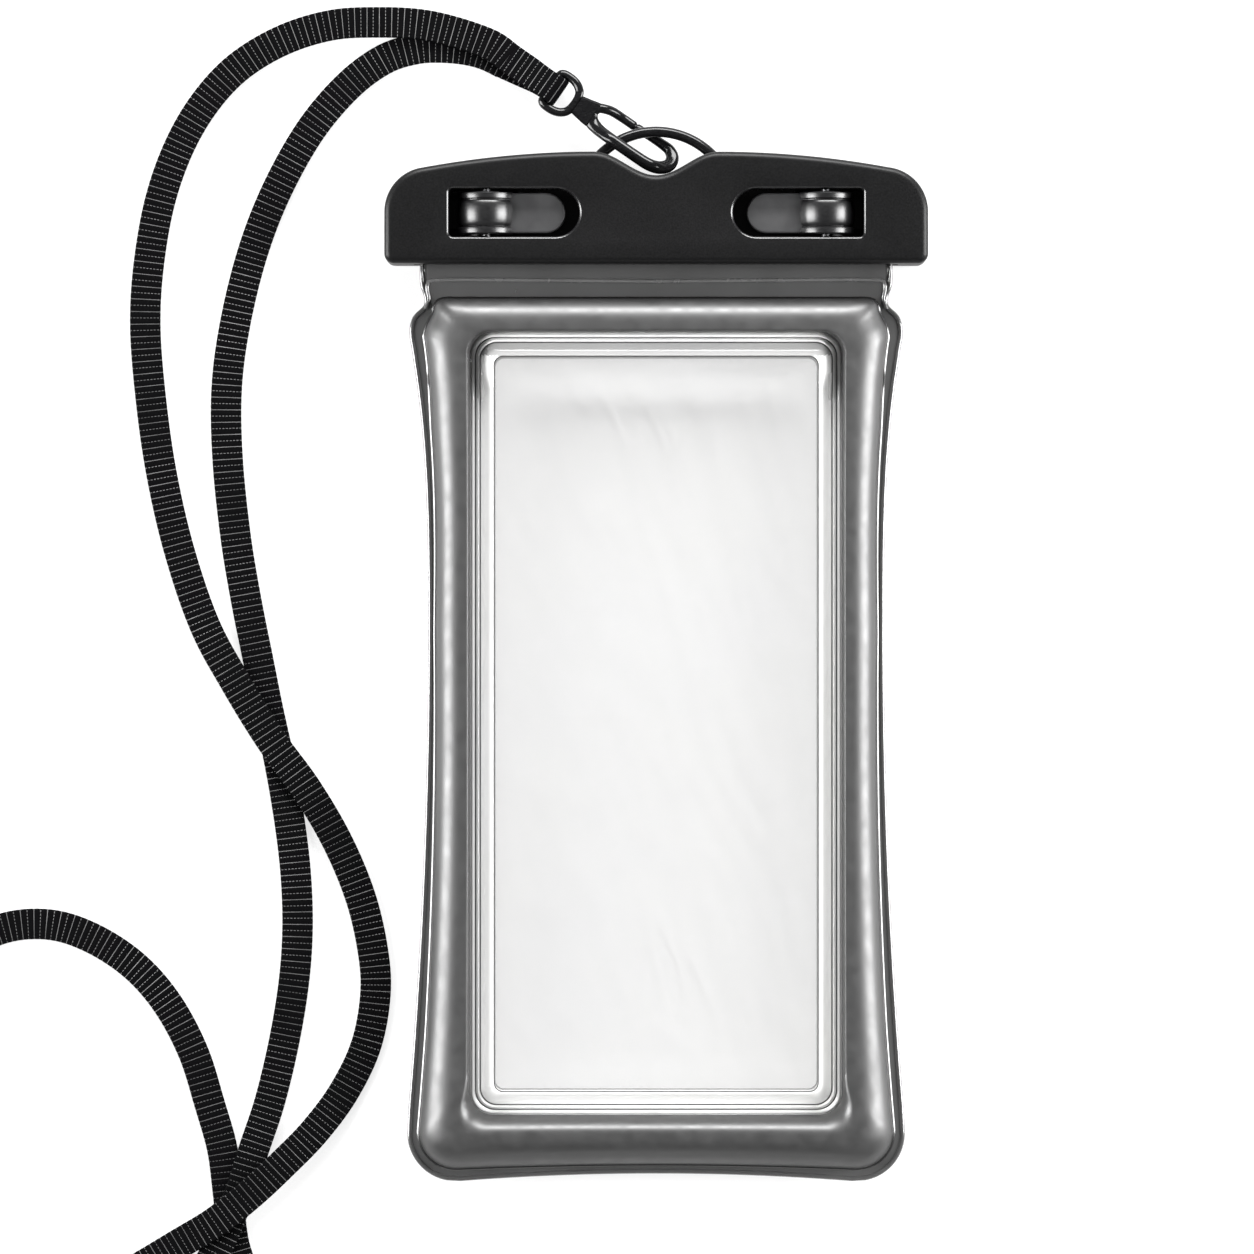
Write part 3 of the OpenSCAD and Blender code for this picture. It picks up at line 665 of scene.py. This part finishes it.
def film_row(y):
    """Half width, ramp width and rise of the film at height y, between its rows."""
    rows = [
        (NECK_END_Y, NECK_HALF, 3, -0.35), (LIP_Y - 3, NECK_HALF, 3, -0.35),
        (FRAME_OUT_TOP, NECK_HALF - 0.4, 4, 0.2), (FRAME_OUT_TOP - 5.3, NECK_HALF - 3.6, 8, 1.2),
        (FRAME_IN_TOP, WINDOW_X + 3, 6, 2.6), (POCKET_TOP, WINDOW_X, 3.4, FULL_H),
        (WAIST_Y, WINDOW_X, 3.4, FULL_H), (FRAME_IN_LOW + 4.4, WINDOW_X, 3.4, FULL_H),
        (FRAME_IN_LOW + 1, WINDOW_X - 1.6, 3.4, 0), (FRAME_IN_LOW, WINDOW_X - 4.5, 3.4, 0),
    ]
    for high, low in zip(rows, rows[1:]):
        if y >= low[0]:
            t = (y - low[0]) / (high[0] - low[0])
            return [low[k] + (high[k] - low[k]) * min(1, max(0, t)) for k in (1, 2, 3)]
    return list(rows[-1][1:])


def film_rise(x, y):
    half, ramp, rise = film_row(y)
    return rise * min(1, max(0, (half - 1 - abs(x)) / ramp))


def tube_x(y):
    return side_x(y) - 1.6 - 1.2 * min(1, abs(y - WAIST_Y) / 90) - smooth_step((y - 48) / 24)


def even(points, count):
    """The same line with its points at equal steps."""
    lengths = [0.0]
    for a, b in zip(points, points[1:]):
        lengths.append(lengths[-1] + math.dist(a, b))
    out, k = [], 0
    for i in range(count):
        want = lengths[-1] * i / (count - 1)
        while k < len(points) - 2 and lengths[k + 1] < want:
            k += 1
        t = (want - lengths[k]) / (lengths[k + 1] - lengths[k])
        out.append(tuple(a + (b - a) * t for a, b in zip(points[k], points[k + 1])))
    return out


def tube_pairs():
    """Inner and outer point of each ring of the air tube, once around."""
    side = []
    for i in range(121):
        f = i / 120
        y_in = FRAME_IN_LOW + IN_CORNER_R + f * (FRAME_IN_TOP - FRAME_IN_LOW - 2 * IN_CORNER_R)
        y_out = FRAME_OUT_LOW + OUT_CORNER_R + f * (FRAME_OUT_TOP - FRAME_OUT_LOW - 2 * OUT_CORNER_R)
        side.append(((WINDOW_X, y_in), (tube_x(y_out), y_out)))

    def corner(inner, outer, start):
        return list(zip(arc(*inner, IN_CORNER_R, start, start + 90, 18), arc(*outer, OUT_CORNER_R, start, start + 90, 18)))

    shoulder = bent([side[-1][1]] + [(x, LIP_Y + y) for x, y in SHOULDER_LINE], 8)
    inner_top = arc(WINDOW_X - IN_CORNER_R, FRAME_IN_TOP - IN_CORNER_R, IN_CORNER_R, 0, 90, 24)
    top = list(zip(inner_top, even(shoulder, 25)))[1:]
    low = corner((WINDOW_X - IN_CORNER_R, FRAME_IN_LOW + IN_CORNER_R),
                 (side[0][1][0] - OUT_CORNER_R, FRAME_OUT_LOW + OUT_CORNER_R), -90)[:-1]
    low_in, low_out = low[0]
    top_in, top_out = top[-1]
    base = [((low_in[0] * f, FRAME_IN_LOW), (low_out[0] * f, FRAME_OUT_LOW + 1 - f * f)) for f in
            (i / 30 for i in range(30))]
    roof = [((top_in[0] * f, FRAME_IN_TOP), (top_out[0] * f, FRAME_OUT_TOP)) for f in (i / 30 for i in range(29, -1, -1))]
    half = base + low + side + top + roof
    return half + [tuple((-p[0], p[1]) for p in pair) for pair in reversed(half[1:-1])]


def tube_base(x, y):
    """Underside of the front tube: on the flange, and over the film where the neck passes."""
    over = min(1, max(0, (y - POCKET_TOP + 6) / 3))
    rise = max(0, film_rise(x, y)) if y > POCKET_TOP - 6 else 0
    return MID + WELD_HALF + over * (FILM_T + 0.3) + rise


def dome(t, peak, steep, full):
    """Rounded top of the tube over the share t of its width, from 0 at the window to 1 at the border."""
    if t < peak:
        return max(0, 1 - ((peak - t) / peak) ** steep) ** 0.5
    return max(0, 1 - ((t - peak) / (1 - peak)) ** full) ** 0.5


def tube_section(pair):
    (xi, yi), (xo, yo) = pair
    soft = smooth_step((FRAME_IN_LOW + 9 - yi) / 9)
    peak, steep, full = 0.1 + 0.26 * soft, 4 - 1.6 * soft, 2.9 - 0.4 * soft
    shares = [0.5 - 0.5 * math.cos(math.pi * k / 32) for k in range(33)]
    over = []
    for t in shares:
        x, y = xi + t * (xo - xi), yi + t * (yo - yi)
        base = tube_base(x, y)
        ripple = noise.noise(Vector((x * 0.045, y * 0.045, 1))) * 0.01
        over.append((x, y, base + (THICK - base) * dome(t, peak, steep, full) * (0.988 + ripple)))
    under = []
    for t in (0.85, 0.6, 0.4, 0.15):
        x, y = xi + t * (xo - xi), yi + t * (yo - yi)
        under.append((x, y, tube_base(x, y)))
    return over + under


def flipped(points):
    """The same points on the back, seen across the middle plane."""
    return [(x, y, THICK - z) for x, y, z in points]


def make_air_frames(paint):
    rings = [tube_section(pair) for pair in tube_pairs()]
    for name, node, turn in (("front_air_tube", "front_air_frame", list), ("back_air_tube", "back_air_frame", flipped)):
        shell = Shell()
        shell.loft([turn(ring) for ring in rings], closed=True)
        make(name, shell.points, shell.faces, "back", [paint], [node])


def make_flange(*paints):
    """Welded border of the pouch: a round bead along its edge and a seam along the tube, its weld line painted darker
    with shade of the crease at the tube's foot.
    """
    outline = flange_outline()
    shell = Shell()
    bead = [(0.0, 0.0), (0.06, 0.28), (0.22, 0.47), (0.5, 0.55), (0.8, 0.47), (1.0, 0.26), (1.1, 0.1), (1.35, 0.06),
            (1.5, 0.12)]
    up = [at_height(inset(outline, i), MID + h) for i, h in bead]
    down = [at_height(inset(outline, i), MID - h) for i, h in reversed(bead[1:])]
    hole = [(x * 0.985, y) for x, y in pocket_edge()]
    hole_up = at_height(hole, MID + bead[-1][1])
    hole_down = at_height(hole, MID - bead[-1][1])
    shell.loft(down + up, caps=False)
    shell.loft([hole_up, hole_down], caps=False)
    shell.fill([up[-1], hole_up])
    shell.fill([down[0], hole_down])
    shell.weld()
    loop = [outer for inner, outer in tube_pairs()]
    for turn in (list, flipped):
        # Dark band round the tube's foot: the weld line, with painted shade of the crease between tube and flange.
        fillet = [(0.3, -0.35), (-0.5, -0.35), (-0.45, -0.12), (-0.25, 0.04), (0.05, 0.1), (0.3, 0.1)]
        shell.loft([turn([(x, y, tube_base(x, y) + h) for x, y in inset(loop, i)]) for i, h in fillet],
                   closed=True, kind=1)
        for side in (-1, 1):
            line = [(side * x, LIP_Y + y) for x, y in NECK_WELD]
            rings = []
            for k, (x, y) in enumerate(line):
                ahead = Vector(line[min(k + 1, len(line) - 1)]) - Vector(line[max(k - 1, 0)])
                across = Vector((-ahead.y, ahead.x)).normalized()
                base = MID + WELD_HALF + FILM_T + max(0, film_rise(x, y)) + 0.08
                rings.append([(x + across.x * 0.42 * math.cos(a), y + across.y * 0.42 * math.cos(a),
                               base + 0.34 * math.sin(a)) for a in (math.pi * n / 5 for n in range(10))])
            shell.loft([turn(ring) for ring in rings], kind=2)
    make("weld_border", shell.points, shell.faces, "back", paints, ["weld_flange"], shell.kinds)


def pocket_edge():
    """Edge of the room inside the pouch, which ends below the neck's mouth."""
    count = 60
    low, high = FRAME_IN_LOW + 1, NECK_END_Y - 0.6
    right = [(film_row(low + (high - low) * i / count)[0] - 1, low + (high - low) * i / count) for i in range(count + 1)]
    return right + [(-x, y) for x, y in reversed(right)]


def window_loop(d):
    """Rounded window outline at inset d, counterclockwise, with the same count of points for every d."""
    radius = max(IN_CORNER_R - 0.55 * d, 1.2)
    half = WINDOW_X - d
    low, high = FRAME_IN_LOW + d, FRAME_IN_TOP - d
    points = []
    for cx, cy, start in ((half - radius, low + radius, -90), (half - radius, high - radius, 0),
                          (radius - half, high - radius, 90), (radius - half, low + radius, 180)):
        bend = arc(cx, cy, radius, start, start + 90, 10)
        if points:
            points += between(points[-1], bend[0], 56 if start in (0, 180) else 30)
        points += bend
    return points + between(points[-1], points[0], 30)


def between(a, b, count):
    """Points between two ends, without the ends."""
    return [(a[0] + (b[0] - a[0]) * i / count, a[1] + (b[1] - a[1]) * i / count) for i in range(1, count)]


def window_top(x, y, d):
    """Upper side of the film at inset d: two beads beside the tube, a ramp and a weld groove."""
    low = tube_base(x, y) - 0.05
    high = MID + WELD_HALF + FILM_T + FULL_H + 0.3
    rise = smooth_step((d - 2.35) / 3)
    return low + (high - low) * rise + profile_at(WINDOW_PROFILE, d)


def profile_at(profile, d):
    for (d0, h0), (d1, h1) in zip(profile, profile[1:]):
        if d <= d1:
            return h0 + (h1 - h0) * (d - d0) / (d1 - d0)
    return 0


def slack(x, y, s):
    """Sag and faint wrinkles of the clear film, s being 0 at its weld and 1 in the middle."""
    wave = noise.noise(Vector((x * 0.035, y * 0.02, 2))) * 0.45
    fold = noise.noise(Vector((x * 0.16 + y * 0.05, y * 0.035, 7)))
    crease = max(0, 0.2 - abs(fold)) * 2
    tent = math.exp(-((y - FRAME_IN_TOP + 15) / 4) ** 2) * 1.1
    return smooth_step(s * 4) * (wave - 0.3 + tent) + smooth_step(s * 7) * crease


def window_kind(d):
    """Material of the film's edge at inset d: beads painted bright as a highlight, grooves painted dark as shade, a
    dark weld line and a milky band.
    """
    if 1.04 < d < 1.25 or 2.09 < d < 2.3 or d > 5.25:
        return 0
    return 3 if d < 2.3 else 1


def window_sheet(turn):
    """The window's film as one closed sheet, from its weld under the tube to its middle line."""
    shell = Shell()
    spots = sorted([d for d, h in WINDOW_PROFILE] + [2.9, 3.4, 3.9, 4.4, 4.8])
    tops, lows = [], []
    for d in spots:
        loop = window_loop(d)
        tops.append([(x, y, window_top(x, y, d)) for x, y in loop])
        lows.append([(x, y, window_top(x, y, d) - FILM_T) for x, y in loop])
    edge = window_loop(spots[-1])
    steps = 34
    for k in range(1, steps + 1):
        s = k / steps
        loop = [(x * (1 - s), y - (y - WAIST_Y) * 0.35 * s) for x, y in edge]
        z = MID + WELD_HALF + FILM_T + FULL_H + 0.3
        tops.append([(x, y, z + slack(x, y, s)) for x, y in loop])
        lows.append([(x, y, z - FILM_T + slack(x, y, s)) for x, y in loop])
    count = len(spots) - 1
    for rows in (tops, lows):
        for k in range(len(rows) - 1):
            kind = 2 if k >= count else window_kind(spots[k])
            shell.loft([turn(rows[k]), turn(rows[k + 1])], caps=False, kind=kind)
    shell.loft([turn(tops[0]), turn(lows[0])], caps=False)
    # Painted shade: the milky border along the top of the window takes a darker copy of its film.
    for i, face in enumerate(shell.faces):
        if shell.kinds[i] == 1 and min(shell.points[k][1] for k in face) > FRAME_IN_TOP - 5.5:
            shell.kinds[i] = 4
    return shell.weld(2e-3)


def make_films(*paints):
    """Front and back film: smoky at the neck, clear in the window, with a milky border between."""
    count_x, count_y = 84, 30
    low_end = FRAME_IN_TOP - 0.4
    for name, node, turn in (("front_sheet", "front_film", list), ("back_sheet", "back_film", flipped)):
        shell = window_sheet(turn)
        rings = []
        for k in range(count_y + 1):
            y = low_end + (NECK_END_Y - low_end) * k / count_y
            half = film_row(y)[0]
            xs = [half * (2 * i / count_x - 1) for i in range(count_x + 1)]
            row = [(x, y, MID + WELD_HALF + film_rise(x, y) + neck_pleat(x, y)) for x in xs]
            rings.append(turn([(x, y, z + FILM_T) for x, y, z in row] + list(reversed(row))))
        shell.loft(rings)
        make(name, shell.points, shell.faces, "back", paints, [node],
             shell.kinds)


def neck_pleat(x, y):
    """Shallow upright pleats of the neck between the tube and the clamp."""
    t = (y - FRAME_OUT_TOP) / (LIP_Y - FRAME_OUT_TOP)
    return noise.noise(Vector((x * 0.11, y * 0.03, 4))) * 0.35 * smooth_step(1 - abs(2 * t - 1))


# Strap


def strap_line():
    """Smooth centreline through the route, with equal steps."""
    control = [(x, y, STRAP_T * 0.56 + LAYER_Z * layer) for x, y, layer in ROUTE]
    fine = [Vector(p) for p in bent(control, 40)]
    step = RIB_PITCH / 5
    line = [fine[0]]
    carry = 0.0
    for a, b in zip(fine, fine[1:]):
        gap = (b - a).length
        while carry + gap >= step:
            a = a.lerp(b, (step - carry) / gap)
            line.append(a)
            gap = (b - a).length
            carry = 0.0
        carry += gap
    return line


def make_strap(paint):
    line = strap_line()
    step = RIB_PITCH / 5
    half_w, half_t = STRAP_W / 2, STRAP_T / 2
    rings = []
    for i, p in enumerate(line):
        ahead = line[min(i + 1, len(line) - 1)] - line[max(i - 1, 0)]
        across = Vector((-ahead.y, ahead.x, 0)).normalized()
        rib = abs(math.cos(math.pi * i * step / RIB_PITCH)) ** 0.6
        thick = half_t * (0.8 + 0.18 * (1 - rib))
        wide = half_w * (0.985 + 0.015 * (1 - rib))
        rings.append([tuple(p - across * u * wide + Vector((0, 0, v * thick))) for u, v in STRAP_SHAPE])
    shell = Shell()
    shell.loft(rings)
    strap = make("neck_strap", shell.points, shell.faces, "back", [paint], ["strap"])
    weave = strap.data.uv_layers.new(name="weave")
    count = len(STRAP_SHAPE)
    for loop in strap.data.loops:
        ring, corner = divmod(loop.vertex_index, count)
        weave.data[loop.index].uv = (ring * step / RIB_PITCH, STRAP_SHAPE[corner][0] / 2 + 0.5)


def on_axis(x, y, z):
    """A point of the hook's frame in the part's frame."""
    side = Vector((-AXIS.y, AXIS.x))
    place = EYE_POINT + AXIS * x + side * y
    return place.x, place.y, EYE_Z + RISE * x + z


def fold_line():
    """Middle of the folded end in the plane across the bar: distance from the bar, height and sideways shift."""
    bar_z = EYE_Z + RISE * BAR_X
    angles = [math.radians(76 + 194 * k / 16) for k in range(17)]
    turn = [(WRAP_R * 1.35 * math.cos(a), bar_z + WRAP_R * math.sin(a), 0) for a in angles]
    high, low = STRAP_T * 0.56 + LAYER_Z, STRAP_T * 0.56
    upper = bent([(FOLD_LEN, high, 0), (8.6, high + 0.03, 0), (5.6, 2.7, 0), (2.9, 3.6, 0), turn[0]], 5)
    lower = bent([turn[-1], (2.4, low, 0.1), (6, low, FOLD_SKEW * 0.35), (FOLD_LEN, low, FOLD_SKEW)], 6)
    return [(-d, z, shift) for d, z, shift in upper[:-1] + turn + lower[1:]]


def make_fold(paint):
    """The strap's end, folded round the eye's bar."""
    line = fold_line()
    rings, along, total = [], [], 0.0
    for i, (d, z, shift) in enumerate(line):
        back, ahead = line[max(i - 1, 0)], line[min(i + 1, len(line) - 1)]
        tx, tz = ahead[0] - back[0], ahead[1] - back[1]
        size = math.hypot(tx, tz)
        nx, nz = tz / size, -tx / size
        if i:
            total += math.hypot(d - back[0], z - back[1])
        along.append(total)
        wide = STRAP_W / 2 * (0.93 + 0.055 * smooth_step((-d - 2) / 5))
        ring = []
        for u, v in STRAP_SHAPE:
            x, y, flat = on_axis(BAR_X + d + nx * v * STRAP_T * 0.42, u * wide - shift, 0)
            ring.append((x, y, z + nz * v * STRAP_T * 0.42))
        rings.append(ring)
    shell = Shell()
    shell.loft(rings)
    fold = make("strap_end_fold", shell.points, shell.faces, "back", [paint], ["strap_fold"])
    weave = fold.data.uv_layers.new(name="weave")
    for loop in fold.data.loops:
        ring, corner = divmod(loop.vertex_index, len(STRAP_SHAPE))
        weave.data[loop.index].uv = (along[ring] / RIB_PITCH + 0.3, STRAP_SHAPE[corner][0] / 2 + 0.5)


def loop_rings(line, lift, flat):
    """Oval sections along a closed line of (x, y, half width), with lift giving the height of its middle."""
    rings = []
    for i, (x, y, wide) in enumerate(line):
        back, ahead = line[i - 1], line[(i + 1) % len(line)]
        tx, ty = ahead[0] - back[0], ahead[1] - back[1]
        size = math.hypot(tx, ty)
        angles = [2 * math.pi * n / 20 for n in range(20)]
        rings.append([on_axis(x - ty / size * wide * math.cos(a), y + tx / size * wide * math.cos(a),
                              lift(x, y) + min(wide, flat) * math.sin(a)) for a in angles])
    return rings


def twist(x, y):
    """Height of the hook over its axis: level at the eye, then turned so that it links with the arch."""
    return -y * (1.32 if y < 0 else 0.8) * smooth_step((x - 8) / 7)


def make_hook(paint):
    half = EYE_RING + [(x, -y) for x, y in reversed(EYE_RING[1:-1])]
    ring = bent(half + half[:1], 4)[:-1]
    eye = Shell()
    eye.loft(loop_rings([(x, y, BAR_R) for x, y in ring], lambda x, y: 0, 0.95), closed=True)
    make("hook_eye_ring", eye.points, eye.faces, "back", [paint], ["swivel_eye"])
    hook = Shell()
    line = bent(HOOK_LOOP + HOOK_LOOP[:1], 8)[:-1]
    slit = 17.6
    line = [(x, y, wide * (0.72 if y > 2 and abs(x - slit) < 0.25 else 1)) for x, y, wide in line]
    hook.loft(loop_rings(line, twist, 1.15), closed=True)
    rows = []
    for x, low, high in PLATE_ROWS:
        soft = 0.45
        edge = [(low, 0.75), (low + soft, 1.2), (high - soft, 1.2), (high, 0.75), (high, -0.75), (high - soft, -1.2),
                (low + soft, -1.2), (low, -0.75)]
        scale = 0.9 if x == PLATE_ROWS[0][0] else 1
        rows.append([on_axis(x, y, twist(x, y) + z * scale) for y, z in edge])
    hook.loft(rows)
    make("strap_hook", hook.points, hook.faces, "back", [paint], ["lanyard_hook"])


# Finish of the parts that keep their built shape


def dress(node, material):
    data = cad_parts[node].data
    data.materials.clear()
    data.materials.append(material)


# Scene


def make_camera():
    data = bpy.data.cameras.new("camera")
    data.sensor_width = 36
    data.lens = 254
    data.clip_end = 10
    camera = bpy.data.objects.new("camera", data)
    camera.location = (-0.00655, 0.00596, 2.0)
    bpy.context.scene.collection.objects.link(camera)
    bpy.context.scene.camera = camera


def make_lamp(name, place, size, power):
    """A long soft panel that faces the pouch."""
    data = bpy.data.lights.new(name, "AREA")
    data.shape = "RECTANGLE"
    data.size, data.size_y = size
    data.energy = power
    lamp = bpy.data.objects.new(name, data)
    lamp.location = place
    lamp.rotation_euler = (-Vector(place)).to_track_quat("-Z", "Y").to_euler()
    bpy.context.scene.collection.objects.link(lamp)


def make_floor():
    mesh = bpy.data.meshes.new("floor")
    size = 3.0
    mesh.from_pydata([(-size, -size, 0), (size, -size, 0), (size, size, 0), (-size, size, 0)], [], [(0, 1, 2, 3)])
    material = bpy.data.materials.new("studio_floor")
    material.use_nodes = True
    nodes, links = material.node_tree.nodes, material.node_tree.links
    nodes.clear()
    diffuse = nodes.new("ShaderNodeBsdfDiffuse")
    diffuse.inputs["Color"].default_value = (0.86, 0.86, 0.86, 1)
    white = nodes.new("ShaderNodeEmission")
    path = nodes.new("ShaderNodeLightPath")
    seen = nodes.new("ShaderNodeMath")
    seen.operation = "MAXIMUM"
    through = nodes.new("ShaderNodeMath")
    through.operation = "MAXIMUM"
    part = nodes.new("ShaderNodeMath")
    part.operation = "MULTIPLY"
    part.inputs[1].default_value = 0.75
    mix = nodes.new("ShaderNodeMixShader")
    output = nodes.new("ShaderNodeOutputMaterial")
    links.new(path.outputs["Is Camera Ray"], seen.inputs[0])
    links.new(path.outputs["Is Glossy Ray"], seen.inputs[1])
    links.new(seen.outputs["Value"], through.inputs[0])
    links.new(path.outputs["Is Transmission Ray"], through.inputs[1])
    links.new(through.outputs["Value"], part.inputs[0])
    links.new(part.outputs["Value"], mix.inputs["Fac"])
    links.new(diffuse.outputs["BSDF"], mix.inputs[1])
    links.new(white.outputs["Emission"], mix.inputs[2])
    links.new(mix.outputs["Shader"], output.inputs["Surface"])
    mesh.materials.append(material)
    floor = bpy.data.objects.new("floor", mesh)
    floor.location.z = -0.0002
    bpy.context.scene.collection.objects.link(floor)


def make_light():
    world = bpy.data.worlds.new("studio")
    world.use_nodes = True
    world.node_tree.nodes["Background"].inputs["Color"].default_value = (1, 1, 1, 1)
    world.node_tree.nodes["Background"].inputs["Strength"].default_value = 0.19
    bpy.context.scene.world = world
    make_lamp("panel_left", (-1.3, 0.0, 0.47), (0.55, 1.3), 60)
    make_lamp("panel_right", (1.3, 0.1, 0.47), (0.55, 1.3), 66)
    make_lamp("panel_top", (0.1, 1.3, 0.58), (1.3, 0.5), 68)
    make_lamp("panel_low", (0.0, -1.3, 0.4), (1.3, 0.4), 3)
    bpy.context.scene.view_settings.view_transform = "Standard"


make_camera()
gloss = gloss_plastic("gloss_black_plastic", 0.3)
webbing = strap_webbing()
make_fold(webbing)
wire = gloss_plastic("gloss_black_wire", 0.15, 0.2)
make_hook(wire)
make_strap(webbing)
make_clamp(clamp_plastic(), gloss_plastic("slot_edge", 0.24))
make_levers(gloss, satin_plastic())
make_air_frames(smoky_film("smoky_film", 0.011, 0.98, 0.45))
make_flange(smoky_film("smoky_border", 0.05, 0.95, 0.14), smoky_film("weld_seam_crease_shade", 0.008, 1.0, 0.2),
            smoky_film("weld_bead", 0.075, 0.95, 0.25))
# The window's beads get a near-white film as a painted highlight; their grooves take the dark neck film as painted
# shade.
make_films(smoky_film("smoky_neck", 0.04, 0.95), clear_film("milky_border", 0.95, 0.6),
           clear_film("clear_film", 0.36, 0.21), clear_film("bead_painted_highlight", 0.7, 0.95),
           clear_film("milky_border_painted_shade", 0.4, 0.6))
steel = pin_steel()
rubber = seal_rubber()
for pin in ("lever_pin_left", "lever_pin_right"):
    dress(pin, steel)
for strip in ("seal_strip_front", "seal_strip_back"):
    dress(strip, rubber)
dress("lanyard_arch", wire)
make_light()
make_floor()
